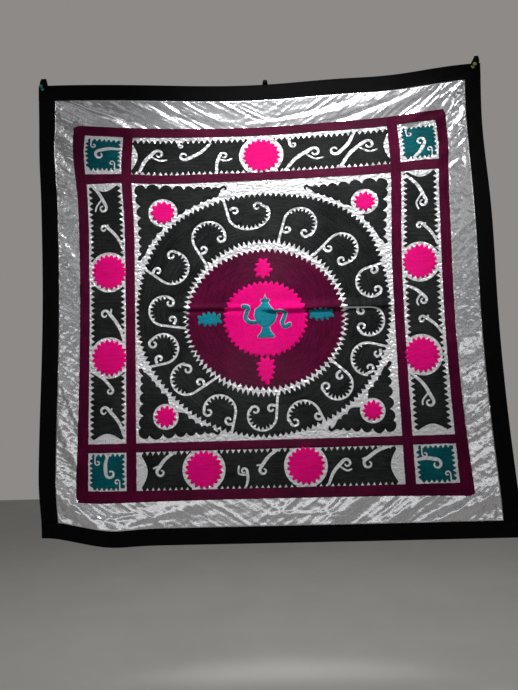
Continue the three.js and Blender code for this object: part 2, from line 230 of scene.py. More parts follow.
def crumple(a, b):
    """Small unevenness of the bare satin margin, drawn out along the strips as the seams gather it."""
    beside = smooth((np.abs(a) - CRUMPLE_FROM[0]) / CRUMPLE_FADE)
    above = smooth((np.abs(b) - CRUMPLE_FROM[1]) / CRUMPLE_FADE)
    sides = lattice_noise(a, b, 11, 3) * 0.55 + lattice_noise(a * 0.6, b, 6, 4) * 0.3
    ends = lattice_noise(a, b, 11, 5) * 0.5 + lattice_noise(a, b * 0.5, 6, 6) * 0.3
    return np.maximum(beside, above) * np.where(beside > above, sides, ends)


print("fold helpers ready")

# %% [markdown]
# ## Hanging the cloth
# `hung` works out where each point of the flat cloth is in the room. Thickness is added along the
# direction out of the cloth's face, so that stitching and hems stay as thick on a slope as on the flat.

# %% The hanging function
EDGE_FADE = {"top": (14, 34), "others": (22, 60)}
CREASE_FADE = (3, 12)
SLOPE_REACH = 1.5


def middle_layer(a, b):
    """Where the middle of the cloth's thickness hangs, in millimetres."""
    x, z = a.copy(), b.copy()
    for _, pull_a, pull_b, reach_a, reach_b, right, up in PULLS:
        share = np.exp(-(((a - pull_a) / reach_a) ** 2) - ((b - pull_b) / reach_b) ** 2)
        x += share * right
        z += share * up
    fall = np.clip((CLOTH["top"] - b) / (CLOTH["top"] - CLOTH["bottom"]), 0, 1)
    off = TOP_STANDOFF + (BOTTOM_STANDOFF - TOP_STANDOFF) * fall**STANDOFF_CURVE
    sides = np.minimum(a - CLOTH["left"], CLOTH["right"] - a)
    keep, fade = EDGE_FADE["top"]
    strength = smooth((CLOTH["top"] - keep - b) / fade)
    past, fade = EDGE_FADE["others"]
    strength *= smooth((sides + past) / fade) * smooth((b - CLOTH["bottom"] + past) / fade)
    off += strength * ridges(FOLDS, a, b)
    to_strip = np.minimum(np.minimum(a - SATIN["left"], SATIN["right"] - a),
                          np.minimum(SATIN["top"] - b, b - SATIN["bottom"]))
    past, fade = CREASE_FADE
    off += smooth((to_strip + past) / fade) * (ridges(CREASES, a, b) + crumple(a, b))
    pleat = smooth((a - PLEAT["start"]) / PLEAT["fade"]) * smooth((PLEAT["end"] - a) / PLEAT["fade"])
    pleat *= np.exp(-(((b - PLEAT["level"]) / PLEAT["width"]) ** 2))
    off += PLEAT["lift"] * pleat
    z -= PLEAT["droop"] * pleat
    x -= (x - DRAW_TO[0]) * off * DRAW_IN
    z -= (z - DRAW_TO[1]) * off * DRAW_IN
    return np.stack([x - ORIGIN[0], -off - BORDER_HALF, z - ORIGIN[1]], axis=-1)


def hung(a, b, height):
    """Points in metres for flat positions a, b at a height over the middle layer, all in millimetres."""
    across = middle_layer(a + SLOPE_REACH, b) - middle_layer(a - SLOPE_REACH, b)
    upward = middle_layer(a, b + SLOPE_REACH) - middle_layer(a, b - SLOPE_REACH)
    outward = np.cross(across, upward)
    outward /= np.linalg.norm(outward, axis=-1, keepdims=True)
    return (middle_layer(a, b) + outward * height[..., None]) * MM


corner = hung(np.array([-576.0]), np.array([603.0]), np.array([0.0]))[0]
print("top left corner hangs at", corner.round(4))

# %% [markdown]
# ## Materials as sums in Python
# A material is a tree of nodes. `Wire` wraps one output of a node and gives it Python's operators, so
# that `1 - stripes * 0.3` adds the Math nodes by itself.


# %% One output of a node
class Wire:
    """One output socket, with Python's operators adding Math nodes to it."""

    def __init__(self, finish, socket):
        self.finish = finish
        self.socket = socket

    def maths(self, operation, first, second):
        settings = {"operation": operation}
        return self.finish.add("ShaderNodeMath", settings, {0: first, 1: second})

    def __add__(self, other):
        return self.maths("ADD", self, other)

    def __radd__(self, other):
        return self.maths("ADD", other, self)

    def __sub__(self, other):
        return self.maths("SUBTRACT", self, other)

    def __rsub__(self, other):
        return self.maths("SUBTRACT", other, self)

    def __mul__(self, other):
        return self.maths("MULTIPLY", self, other)

    def __rmul__(self, other):
        return self.maths("MULTIPLY", other, self)

    def __abs__(self):
        return self.maths("ABSOLUTE", self, 0)


print("wires can add, subtract and multiply")

# %% [markdown]
# ## A finish
# `Finish.add` makes any other node, with its settings and then its inputs, and the short methods after it
# make the nodes that every cloth here needs. Only what changes over the surface is wired; what is the
# same all over is set on the shader itself.

# %% Helpers for materials
CREASE_SCALE = (9, 58, 1)
CREASE_DETAIL = 1.5


class Finish:
    """A material and its node tree."""

    def __init__(self, name, **constants):
        self.material = bpy.data.materials.new(name)
        self.material.use_nodes = True
        self.tree = self.material.node_tree
        self.shader = self.tree.nodes["Principled BSDF"]
        for socket, value in constants.items():
            self.shader.inputs[socket.replace("_", " ")].default_value = value

    def put(self, socket, value):
        if isinstance(value, Wire):
            self.tree.links.new(value.socket, socket)
        else:
            socket.default_value = value

    def add(self, kind, settings=None, inputs=None, output=0):
        """Makes a node, with its settings first, then its inputs, and gives back one output."""
        node = self.tree.nodes.new(kind)
        for name, value in (settings or {}).items():
            setattr(node, name, value)
        for name, value in (inputs or {}).items():
            self.put(node.inputs[name], value)
        return Wire(self, node.outputs[output])

    def wire(self, **inputs):
        for name, value in inputs.items():
            self.put(self.shader.inputs[name.replace("_", " ")], value)

    def bump(self, height, strength, distance):
        inputs = {"Height": height, "Strength": strength, "Distance": distance}
        self.wire(Normal=self.add("ShaderNodeBump", {}, inputs))

    def mix(self, share, first, second):
        inputs = {"Factor": share, 6: first, 7: second}
        return self.add("ShaderNodeMix", {"data_type": "RGBA"}, inputs, output=2)

    def noise(self, place, scale, detail=3.0):
        return self.add("ShaderNodeTexNoise", {}, {"Vector": place, "Scale": scale, "Detail": detail})

    def table_place(self):
        """The flat cloth's own coordinates in metres, from the piece's UV map."""
        return self.add("ShaderNodeUVMap", {"uv_map": "flat"})

    def object_place(self):
        return self.add("ShaderNodeTexCoord", output=3)

    def moved(self, place, turn=0.0, shift=(0, 0, 0), stretch=(1, 1, 1)):
        """A place that is turned, stretched and shifted."""
        inputs = {"Vector": place, "Rotation": (0, 0, turn), "Location": shift, "Scale": stretch}
        return self.add("ShaderNodeMapping", {}, inputs)

    def split(self, place):
        """The x and y wires of a place."""
        x = self.add("ShaderNodeSeparateXYZ", {}, {"Vector": place})
        return x, Wire(self, x.socket.node.outputs[1])

    def span(self, value, low, high):
        """0 up to low, 1 from high on, and a soft step between them."""
        return self.add("ShaderNodeMapRange", {"interpolation_type": "SMOOTHSTEP"},
                        {"Value": value, "From Min": low, "From Max": high})

    def creases(self, place, turn, seed):
        """Long sharp creases that run one way."""
        drawn = self.moved(self.moved(place, turn), shift=(seed, seed, 0), stretch=CREASE_SCALE)
        settings = {"noise_type": "RIDGED_MULTIFRACTAL", "normalize": True}
        inputs = {"Vector": drawn, "Scale": 1.0, "Detail": CREASE_DETAIL}
        return self.add("ShaderNodeTexNoise", settings, inputs)

    def ripple(self, value, turns):
        """A wave between 0 and 1 that goes through that many turns a metre."""
        wave = self.add("ShaderNodeMath", {"operation": "SINE"}, {0: value * (turns * 2 * math.pi)})
        return wave * 0.5 + 0.5


def rgb(red, green, blue):
    """A colour as a camera shows it, 0 to 255, turned into the linear values that a shader takes."""
    shares = [level / 255 for level in (red, green, blue)]
    linear = [((s + 0.055) / 1.055) ** 2.4 if s > 0.04045 else s / 12.92 for s in shares]
    return (*linear, 1.0)


print("material helpers ready")

# %% [markdown]
# ## The finishes of the cloth
# Satin is woven so that long threads float on its face, which makes it shine like metal where it is drawn
# into creases. In the bare margin those creases run down to the right on the left side and up to the
# right on the right side, from the pins that carry the cloth. Between the stitching the satin is puckered
# instead.

# %% Satin, cotton and tape
MARGIN_STEP = (0.462, 0.480)
SIDE_STEP = (-0.15, 0.15)
HIGH_STEP = (-0.2, 0.3)
FALLING = (0.55, 17)
RISING = (-0.7, 23)
SATIN_THREADS = (1400, 900)
COTTON_THREADS = 1150


def satin_weave(finish, across, upward):
    return finish.ripple(across, SATIN_THREADS[0]) * finish.ripple(upward, SATIN_THREADS[1])


def satin_finish():
    satin = Finish("silver_white_satin", Anisotropic=0.2)
    place = satin.table_place()
    across, upward = satin.split(place)
    from_middle = across.maths("MAXIMUM", abs(across), abs(upward))
    margin = satin.span(from_middle, *MARGIN_STEP)
    right_side = satin.span(across, *SIDE_STEP)
    drawn = satin.creases(place, *FALLING) * (1 - right_side) + satin.creases(place, *RISING) * right_side
    rumple = satin.noise(place, 60, 1.5)
    pucker = satin.noise(place, 150, 1.5)
    fine = satin.noise(place, 420, 2)
    weave = satin_weave(satin, across, upward)
    shade = satin.noise(place, 9, 3)
    tone = satin.mix(shade, rgb(224, 225, 228), rgb(240, 240, 242))
    satin.wire(Base_Color=satin.mix(margin, rgb(232, 232, 235), tone),
               Roughness=0.3 - margin * 0.07 + fine * 0.1,
               Metallic=0.35 + margin * 0.45)
    beside = satin.span(abs(across), *MARGIN_STEP)
    high = satin.span(upward, *HIGH_STEP)
    in_margin = drawn * (0.8 + high * 0.45) + rumple * (0.35 + beside * 0.3)
    between = pucker * 1.1 + rumple
    height = in_margin * margin + between * (1 - margin) + weave * 0.006 + fine * 0.015
    satin.bump(height, 1.0, 0.004)
    return satin.material


def satin_back_finish():
    back = Finish("satin_dull_back", Roughness=0.6)
    place = back.table_place()
    across, upward = back.split(place)
    weave = satin_weave(back, across, upward)
    shade = back.noise(place, 14, 3)
    back.wire(Base_Color=back.mix(shade, rgb(196, 197, 199), rgb(222, 222, 222)))
    back.bump(shade * 0.6 + weave * 0.1, 0.5, 0.0012)
    return back.material


def cotton_finish(name, dark, light, roughness):
    cotton = Finish(name, Specular_IOR_Level=0.05)
    place = cotton.table_place()
    across, upward = cotton.split(place)
    weave = cotton.ripple(across, COTTON_THREADS) * 0.5 + cotton.ripple(upward, COTTON_THREADS) * 0.5
    lint = cotton.noise(place, 420, 2)
    worn = cotton.noise(place, 26, 4)
    tone = worn * 0.55 + lint * 0.45
    cotton.wire(Base_Color=cotton.mix(tone, dark, light), Roughness=roughness - 0.1 + worn * 0.15)
    cotton.bump(weave * 0.4 + worn * 0.9, 0.6, 0.0008)
    return cotton.material


satin_face = satin_finish()
satin_back = satin_back_finish()
black_cotton = cotton_finish("black_border_cotton", rgb(2, 2, 3), rgb(11, 11, 13), 0.7)
black_tape = cotton_finish("black_woven_tape", rgb(4, 4, 5), rgb(15, 15, 18), 0.7)
print("cloth finishes:", satin_face.name, black_cotton.name, black_tape.name)


# %% [markdown]
# ## The thread
# Chain stitch lies in rows of small loops. Shade is painted into its colour between the rows and the
# loops, and a lighter painted sheen lies in streaks and patches on it. The bump follows the rows through the
# UV map that each stitched patch carries, level on one patch and round the ring on another.

# %% Chain stitch in its thread colours
ROW_PITCH = 2.3
LINK_PITCH = 3.6
STREAK_STRETCH = (26, 210, 1)


def thread_finish(name, row_gap_shade, body, lit, roughness):
    """Rows of chain stitch: body colour on the loops, painted shade between the rows, lit colour as painted
    sheen where the thread shines.
    """
    thread = Finish(name, Specular_IOR_Level=0.06)
    rows = thread.add("ShaderNodeUVMap", {"uv_map": "rows"})
    along, across = thread.split(rows)
    drift = thread.noise(thread.table_place(), 30, 2)
    row = thread.ripple(across + drift * 0.0008, 1 / (ROW_PITCH * MM))
    link = thread.ripple(along + drift * 0.004, 1 / (LINK_PITCH * MM))
    streaks = thread.noise(thread.moved(rows, stretch=STREAK_STRETCH), 1, 3)
    patch = thread.noise(thread.table_place(), 14, 3)
    fuzz = thread.noise(thread.table_place(), 330, 3)
    loops = row * (0.72 + link * 0.28)
    # painted shade: the colour darkens between the rows and between the links of the stitch
    ground = thread.mix(0.35 + loops * 0.65, rgb(*row_gap_shade), rgb(*body))
    # painted sheen: streaks along the rows and soft patches take the lighter lit colour
    shine = streaks * 0.55 + patch * 0.45
    tone = thread.span(shine * 0.55 + fuzz * 0.45, 0.38, 0.66)
    thread.wire(Base_Color=thread.mix(tone, ground, rgb(*lit)), Roughness=roughness - 0.08 + fuzz * 0.2)
    thread.bump(loops * 0.8 + fuzz * 0.25, 0.8, 0.0011)
    return thread.material


black_thread = thread_finish("black_chain_stitch", (3, 4, 4), (18, 20, 20), (50, 52, 52), 0.5)
burgundy_thread = thread_finish("burgundy_chain_stitch", (30, 1, 17), (78, 5, 42), (106, 12, 60), 0.5)
pink_thread = thread_finish("hot_pink_chain_stitch", (176, 0, 84), (255, 0, 130), (255, 8, 142), 0.6)
teal_thread = thread_finish("teal_chain_stitch", (0, 34, 38), (0, 86, 95), (4, 112, 120), 0.5)
lamp_thread = thread_finish("light_teal_chain_stitch", (0, 66, 78), (2, 124, 144), (10, 148, 166), 0.5)
white_thread = thread_finish("white_outline_stitch", (150, 90, 120), (214, 150, 186), (236, 190, 214), 0.6)
thread_backs = thread_finish("thread_backs", (12, 12, 13), (40, 38, 41), (64, 60, 66), 0.75)
print("thread finishes ready")

# %% [markdown]
# ## From the table to the wall
# Every cloth piece is a bmesh made flat, with its height in z. `hang_piece` writes two UV maps while the
# piece is still flat, one with the flat position and one with the direction of the stitch rows, and then
# moves every vertex to its hung place.

# %% Hang a piece of cloth
ROWS_CENTRE = (-3, -33)
ROWS_RADIUS = 180


def level_rows(a, b):
    return a, b


def round_rows(a, b):
    """Rows that run round the middle of the ring, their length measured at one radius."""
    out_a, out_b = a - ROWS_CENTRE[0], b - ROWS_CENTRE[1]
    return np.arctan2(out_b, out_a) * ROWS_RADIUS, np.hypot(out_a, out_b)


def hang_piece(name, bm, materials, rows=level_rows, upright_where=None):
    """Makes the flat bmesh a hung mesh object that rides on the frame."""
    mesh = bpy.data.meshes.new(name)
    bm.to_mesh(mesh)
    bm.free()
    flat = np.empty(len(mesh.vertices) * 3, np.float32)
    mesh.vertices.foreach_get("co", flat)
    flat = flat.reshape(-1, 3).astype(float)
    corner_vertex = np.empty(len(mesh.loops), np.int32)
    mesh.loops.foreach_get("vertex_index", corner_vertex)
    a, b = flat[corner_vertex, 0], flat[corner_vertex, 1]
    along, across = rows(a, b)
    if upright_where is not None:
        sizes = np.empty(len(mesh.polygons), np.int32)
        mesh.polygons.foreach_get("loop_total", sizes)
        centres = np.empty(len(mesh.polygons) * 3, np.float32)
        mesh.polygons.foreach_get("center", centres)
        centres = centres.reshape(-1, 3)
        turned = np.repeat(upright_where(centres[:, 0], centres[:, 1]), sizes)
        along, across = np.where(turned, b, along), np.where(turned, a, across)
    for label, u, v in (("flat", a, b), ("rows", along, across)):
        layer = mesh.uv_layers.new(name=label)
        layer.data.foreach_set("uv", (np.stack([u, v], axis=-1) * MM).astype(np.float32).ravel())
    points = hung(flat[:, 0], flat[:, 1], flat[:, 2])
    mesh.vertices.foreach_set("co", points.astype(np.float32).ravel())
    for material in materials:
        mesh.materials.append(material)
    mesh.polygons.foreach_set("use_smooth", [True] * len(mesh.polygons))
    mesh.update()
    piece = bpy.data.objects.new(name, mesh)
    bpy.context.scene.collection.objects.link(piece)
    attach(piece, "root")
    print(f"{name}: {len(mesh.vertices)} vertices, {len(mesh.polygons)} faces")
    return piece


print("pieces can be hung")

# %% [markdown]
# ## Sheets with thickness
# A sheet starts as a grid whose rows and columns are spread to where they are needed. `thicken` extrudes
# it to its back, which leaves a closed piece with walls all round.


# %% Helpers for sheets
def thicken(bm, front, back, front_material=0, back_material=1):
    """Gives a flat sheet its front height and closes it with a back, its walls and the back's material."""
    faces = list(bm.faces)
    for vertex in bm.verts:
        vertex.co.z = front(vertex) if callable(front) else front
    for face in faces:
        face.material_index = front_material
    made = bmesh.ops.extrude_face_region(bm, geom=faces, use_keep_orig=True)["geom"]
    for item in made:
        if isinstance(item, bmesh.types.BMVert):
            item.co.z = back
        if isinstance(item, bmesh.types.BMFace):
            item.material_index = back_material
    bmesh.ops.recalc_face_normals(bm, faces=bm.faces)


def cell_lines(start, parts):
    """Positions from a start through (end, number of cells) pairs."""
    lines = [float(start)]
    for end, cells in parts:
        lines += list(np.linspace(lines[-1], end, cells + 1)[1:])
    return lines


def grid_sheet(a_lines, b_lines):
    """A flat sheet of quads on the given lines, from a unit grid whose rows and columns are spread out."""
    bm = bmesh.new()
    bmesh.ops.create_grid(bm, x_segments=len(a_lines) - 1, y_segments=len(b_lines) - 1, size=0.5)
    for vertex in bm.verts:
        column = round((vertex.co.x + 0.5) * (len(a_lines) - 1))
        row = round((vertex.co.y + 0.5) * (len(b_lines) - 1))
        vertex.co = (a_lines[column], b_lines[row], 0)
    return bm


print("sheet helpers ready")

# %% [markdown]
# ## The satin ground
# The real ground is one thin square of satin. A grid is enough for it, but the grid is finer where the
# cloth creases: in the bare margin round the stitching and along the level pleat.

# %% Build the satin
across_lines = cell_lines(SATIN["left"] + SEAM, [(-470, 21), (470, 96), (SATIN["right"] - SEAM, 22)])
down_lines = cell_lines(SATIN["bottom"] + SEAM,
                        [(-476, 23), (-36, 44), (12, 20), (474, 46), (SATIN["top"] - SEAM, 28)])
satin_mesh = grid_sheet(across_lines, down_lines)
thicken(satin_mesh, SATIN_HALF, -SATIN_HALF)
satin_ground = hang_piece("satin_cloth", satin_mesh, [satin_face, satin_back])
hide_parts("satin_ground")

# %% [markdown]
# ## The black border strips
# Each strip is a folded piece of cotton. Its long edges are turned hems, which are rounded and sewn down,
# so the strip is a little thinner in the seam line than beside it.

# %% Build the four strips
HEM_ROUND = 2.6
HEM_EDGE = 0.25
SEW_LINE = 6.5
SEW_GROOVE = 0.3
SEW_WIDE = 1.1
CROSS_SHARES = (0, 0.018, 0.045, 0.075, 0.11, 0.14, 0.165, 0.2, 0.28, 0.39, 0.5)


def strip_front(distance):
    """Half thickness of a strip at a distance from its nearest long edge."""
    rounding = math.sqrt(max(0.0, 1 - (1 - min(distance, HEM_ROUND) / HEM_ROUND) ** 2))
    groove = SEW_GROOVE * math.exp(-(((distance - SEW_LINE) / SEW_WIDE) ** 2))
    return HEM_EDGE + (BORDER_HALF - HEM_EDGE) * rounding - groove


def strip_lines(start, end):
    """Lines across a strip, close together at the hems."""
    shares = CROSS_SHARES + tuple(1 - share for share in reversed(CROSS_SHARES[:-1]))
    return [start + (end - start) * share for share in shares]


def strip(name, node, a_lines, b_lines, lengthwise):
    bm = grid_sheet(a_lines, b_lines)
    axis = 1 if lengthwise == "level" else 0
    low, *_, high = (a_lines, b_lines)[axis]

    def front(vertex):
        place = vertex.co[axis]
        return strip_front(min(place - low, high - place))

    thicken(bm, front, -BORDER_HALF, 0, 0)
    piece = hang_piece(name, bm, [black_cotton])
    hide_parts(node)
    return piece


full_width = cell_lines(CLOTH["left"], [(CLOTH["right"], 288)])
side_height = cell_lines(SATIN["bottom"] + SEAM, [(SATIN["top"] - SEAM, 276)])
border_top = strip("top_strip", "border_top", full_width,
                   strip_lines(SATIN["top"] + SEAM, CLOTH["top"]), "level")
border_bottom = strip("bottom_strip", "border_bottom", full_width,
                      strip_lines(CLOTH["bottom"], SATIN["bottom"] - SEAM), "level")
border_left = strip("left_strip", "border_left",
                    strip_lines(CLOTH["left"], SATIN["left"] - SEAM), side_height, "upright")
border_right = strip("right_strip", "border_right",
                     strip_lines(SATIN["right"] + SEAM, CLOTH["right"]), side_height, "upright")

# %% [markdown]
# ## The sewing
# The hems are held by rows of machine stitches, which lie in the groove that they pull into the cotton. A
# stitch is a small long bead of thread, so a row is one bead repeated, and the rows hang with the same
# function.

# %% Rows of machine stitches
STITCH_STEP = 4.2
STITCH_SIZE = (1.55, 0.36, 0.26)
STITCH_SINK = 0.6
STITCH_END = 2

sewing_thread = cotton_finish("black_sewing_thread", rgb(10, 10, 12), rgb(32, 32, 36), 0.55)


def stitch_rows(name, rows):
    """Machine stitches along straight rows of the flat cloth."""
    bm = bmesh.new()
    for start, end in rows:
        count = round(math.dist(start, end) / STITCH_STEP)
        step = (Vector(end) - Vector(start)) / count
        first = Vector(start) + step / 2
        place = Matrix.Translation((*first, strip_front(SEW_LINE) + STITCH_SIZE[2] * STITCH_SINK))
        turn = Matrix.Rotation(math.atan2(step.y, step.x), 4, "Z")
        shape = place @ turn @ Matrix.Diagonal((*STITCH_SIZE, 1))
        bead = bmesh.ops.create_uvsphere(bm, u_segments=6, v_segments=4, radius=1, matrix=shape)["verts"]
        geometry = bead + list({edge for v in bead for edge in v.link_edges})
        geometry += list({face for v in bead for face in v.link_faces})
        bmesh.ops.spin(bm, geom=geometry, cent=(0, 0, 0), axis=(0, 0, 1), dvec=(*step, 0), angle=0,
                       steps=count - 1, use_merge=False, use_duplicate=True)
    return hang_piece(name, bm, [sewing_thread])


def level_row(b):
    return (CLOTH["left"] + SEW_LINE, b), (CLOTH["right"] - SEW_LINE, b)


def upright_row(a):
    return (a, SATIN["bottom"] + STITCH_END), (a, SATIN["top"] - STITCH_END)


stitches_top = stitch_rows("stitches_top", [level_row(SATIN["top"] + SEAM + SEW_LINE),
                                            level_row(CLOTH["top"] - SEW_LINE)])
stitches_bottom = stitch_rows("stitches_bottom", [level_row(SATIN["bottom"] - SEAM - SEW_LINE),
                                                  level_row(CLOTH["bottom"] + SEW_LINE)])
stitches_left = stitch_rows("stitches_left", [upright_row(SATIN["left"] - SEAM - SEW_LINE),
                                              upright_row(CLOTH["left"] + SEW_LINE)])
stitches_right = stitch_rows("stitches_right", [upright_row(SATIN["right"] + SEAM + SEW_LINE),
                                                upright_row(CLOTH["right"] - SEW_LINE)])

# %% [markdown]
# ## Toothed outlines
# Every motif is bounded by rows of small teeth, scallops or plain curves, so a few functions draw them
# all. Each gives a list of points on the flat cloth. `toothed` puts rounded teeth along any line of
# points, with a sharp notch between them.


# %% Lines and teeth
def evenly(points, closed, count):
    """The same line, as count points at equal steps."""
    line = np.array(points, float)
    if closed:
        line = np.vstack([line, line[:1]])
    lengths = np.concatenate([[0], np.cumsum(np.hypot(*np.diff(line, axis=0).T))])
    at = np.linspace(0, lengths[-1], count, endpoint=not closed)
    return np.stack([np.interp(at, lengths, line[:, 0]), np.interp(at, lengths, line[:, 1])], axis=-1)


def line_length(points, closed):
    line = np.array(points, float)
    if closed:
        line = np.vstack([line, line[:1]])
    return float(np.hypot(*np.diff(line, axis=0).T).sum())


TOOTH = ((0.0, 0.0), (0.13, 0.38), (0.29, 0.82), (0.45, 1.0), (0.61, 0.84), (0.83, 0.38))


def toothed(points, pitch, height, closed=False, side=1, lean=0.0, uneven=0.12, seed=1):
    """Rounded teeth along a line, on its left for side 1 and on its right for side -1."""
    length = line_length(points, closed)
    teeth = max(2, round(length / pitch))
    spread = np.random.default_rng(seed)
    fine = evenly(points, closed, teeth * len(TOOTH) + (0 if closed else 1))
    before, after = np.roll(fine, 1, axis=0), np.roll(fine, -1, axis=0)
    if not closed:
        before[0], after[-1] = fine[0], fine[-1]
    run = after - before
    run /= np.maximum(1e-9, np.hypot(run[:, 0], run[:, 1]))[:, None]
    left = np.stack([-run[:, 1], run[:, 0]], axis=-1) * side
    step = length / teeth
    result = []
    scale = 1 + spread.uniform(-uneven, uneven, teeth + 1)
    for index, (point, out, forward) in enumerate(zip(fine, left, run)):
        place, rise = TOOTH[index % len(TOOTH)]
        number = index // len(TOOTH)
        shift = (place - (index % len(TOOTH)) / len(TOOTH)) * step
        reach = rise * height * scale[number]
        result.append(tuple(point + out * reach + forward * (shift + lean * reach)))
    return result


print("a tooth has", len(TOOTH), "points")

# %% [markdown]
# ## Ovals, curves and brush strokes
# The scrolls, hooks and the lamp's arms are brush strokes: a smooth line with a width on either side. A
# curl at a stroke's end is a spiral, which starts where the line touches its circle so that there is no
# kink.


# %% Ovals, curves and strokes
def oval(centre, across, up, count=90, start=0.0, turn=360.0):
    """Points of an oval, or of a part of it, anticlockwise for a positive turn."""
    angles = np.radians(start + turn * np.arange(count + (turn != 360)) / count)
    return [(centre[0] + across * math.cos(t), centre[1] + up * math.sin(t)) for t in angles]


def curve(points, steps=8):
    """A smooth line through the points (Catmull-Rom)."""
    line = [points[0], *points, points[-1]]
    result = []
    for p, q, r, s in zip(line, line[1:], line[2:], line[3:]):
        for k in range(steps):
            t = k / steps
            result.append(tuple(
                0.5 * (2 * q[i] + (r[i] - p[i]) * t + (2 * p[i] - 5 * q[i] + 4 * r[i] - s[i]) * t * t
                       + (3 * q[i] - p[i] - 3 * r[i] + s[i]) * t**3) for i in (0, 1)))
    result.append(tuple(points[-1]))
    return result


STROKE_STEP = 1.6
STROKE_ADVANCE = 0.2


def forward_only(edge, run):
    """The points of a stroke's side, less those that fall back where a bend is tight."""
    kept = [edge[0]]
    for point, forward in zip(edge[1:], run[1:]):
        if (point - kept[-1]) @ forward > STROKE_ADVANCE:
            kept.append(point)
    return [tuple(point) for point in kept]


def stroke(points, left, right):
    """The outline of a round ended stroke: widths are numbers or functions of the share along it."""
    line = evenly(points, False, max(8, round(line_length(points, False) / STROKE_STEP)))
    run = np.gradient(line, axis=0)
    run /= np.hypot(run[:, 0], run[:, 1])[:, None]
    side = np.stack([-run[:, 1], run[:, 0]], axis=-1)
    share = np.linspace(0, 1, len(line))
    wide_left = np.array([left(s) if callable(left) else left for s in share])
    wide_right = np.array([right(s) if callable(right) else right for s in share])
    one = forward_only(line + side * wide_left[:, None], run)
    other = forward_only(line - side * wide_right[:, None], run)
    radius = (wide_left[-1] + wide_right[-1]) / 2
    hub = line[-1] + side[-1] * (wide_left[-1] - wide_right[-1]) / 2
    turns = [math.pi * k / 4 for k in (1, 2, 3)]
    middle = [tuple(hub + side[-1] * radius * math.cos(t) + run[-1] * radius * math.sin(t)) for t in turns]
    return one + middle + other[::-1]


def spiral(centre, start_angle, turn, first, last, count=14):
    """Points that wind round a centre from one radius to another."""
    result = []
    for k in range(count + 1):
        share = k / count
        angle = math.radians(start_angle + turn * share)
        radius = first + (last - first) * share
        result.append((centre[0] + radius * math.cos(angle), centre[1] + radius * math.sin(angle)))
    return result


def bearing(start, end):
    return math.degrees(math.atan2(end[1] - start[1], end[0] - start[0]))


def curl(mouth, centre, winds, first, last, sweep, count=12):
    """A spiral that a line from its mouth runs into without a kink, anticlockwise for winds 1."""
    touch = math.degrees(math.acos(min(0.99, first / max(first, math.dist(mouth, centre)))))
    return spiral(centre, bearing(centre, mouth) + winds * touch, winds * sweep, first, last, count)


print("stroke helpers ready")

# %% [markdown]
# ## Stitched patches
# A patch is a flat sheet of stitching, open where the bare satin shows through as a scroll. Its outlines,
# the lines of its openings, a second line just inside its rim and the satin's own grid lines are filled
# with triangles all at once, so that the patch bends just where the satin does and its rim is low and
# soft. Blender's own 2D Delaunay fill does it, because Boolean cuts lost some of so many small openings.

# %% Patch helpers
EDGE_SOFT = 0.7
RIM = SATIN_HALF + 0.08
LINE_PAST = 5
FILL_EXACT = 1e-4


def anticlockwise(outline):
    line = np.array(outline, float)
    ahead = np.roll(line, -1, axis=0)
    area = float((line[:, 0] * ahead[:, 1] - ahead[:, 0] * line[:, 1]).sum())
    return line if area > 0 else line[::-1]


def beside(outline, reach):
    """An anticlockwise outline moved sideways, outwards for a reach over 0 and inwards for one below."""
    run = np.roll(outline, -1, axis=0) - np.roll(outline, 1, axis=0)
    run /= np.maximum(1e-9, np.hypot(run[:, 0], run[:, 1]))[:, None]
    return outline + np.stack([run[:, 1], -run[:, 0]], axis=-1) * reach


def filled(outlines, cutters, rim_height, face_height):
    """A flat sheet of triangles within the outlines and outside the cutters, low along its rim."""
    points, edges, loops = [], [], []
    outlines = [anticlockwise(outline) for outline in outlines]
    cutters = [anticlockwise(outline) for outline in cutters]

    def line(places, closed):
        first = len(points)
        points.extend(Vector(place) for place in places)
        numbers = list(range(first, len(points)))
        if closed:
            edges.append((numbers[-1], first))
        edges.extend(zip(numbers, numbers[1:]))
        return numbers

    for outline in [*outlines, *cutters]:
        loops.append(line(outline, True))
    for outline in outlines:
        line(beside(outline, -EDGE_SOFT), True)
    for outline in cutters:
        line(beside(outline, EDGE_SOFT), True)
    low, high = np.vstack(outlines).min(axis=0), np.vstack(outlines).max(axis=0)
    for a in across_lines:
        if low[0] < a < high[0]:
            line([(a, low[1] - LINE_PAST), (a, high[1] + LINE_PAST)], False)
    for b in down_lines:
        if low[1] < b < high[1]:
            line([(low[0] - LINE_PAST, b), (high[0] + LINE_PAST, b)], False)
    places, _, triangles, _, _, owners = delaunay_2d_cdt(points, edges, loops, 0, FILL_EXACT)
    bm = bmesh.new()
    corners = [bm.verts.new((a, b, face_height)) for a, b in places]
    for triangle, owner in zip(triangles, owners):
        if owner and max(owner) < len(outlines):
            bm.faces.new([corners[number] for number in triangle])
    bmesh.ops.delete(bm, geom=[v for v in bm.verts if not v.link_faces], context="VERTS")
    bmesh.ops.recalc_face_normals(bm, faces=bm.faces)
    for edge in bm.edges:
        if edge.is_boundary:
            for vertex in edge.verts:
                vertex.co.z = rim_height
    return bm


def stitched_patch(name, outlines, material, face, cutters=(), back=0.28, **options):
    """A hung patch of stitching: low at its rim, face millimetres over the satin, and shown behind too."""
    bm = filled(outlines, cutters, RIM, SATIN_HALF + face)
    heights = {vertex: vertex.co.z for vertex in bm.verts}
    thicken(bm, heights.get, -SATIN_HALF - back)
    return hang_piece(name, bm, [material, thread_backs], **options)


print("patch helpers ready")

# %% [markdown]
# ## The burgundy bands
# Burgundy bands divide the square like a window: four corner squares, four long panels and a wide middle.
# The bands are one outline with nine openings, which are cut out of it. The stitching has drawn the long
# sides in a little, so each corner stands out from a straight line.

# %% Burgundy frame
BAND_OUTER = {"left": -476, "right": 473, "top": 478, "bottom": -481}
BAND_A = (-450, -354, -329, 322, 347, 447)
BAND_B = (-455, -362, -340, 321, 345, 452)
CORNER_REACH = 6
WAVE_STEP = 7
WAVE_REACH = 0.5
OUTSIDE = 500


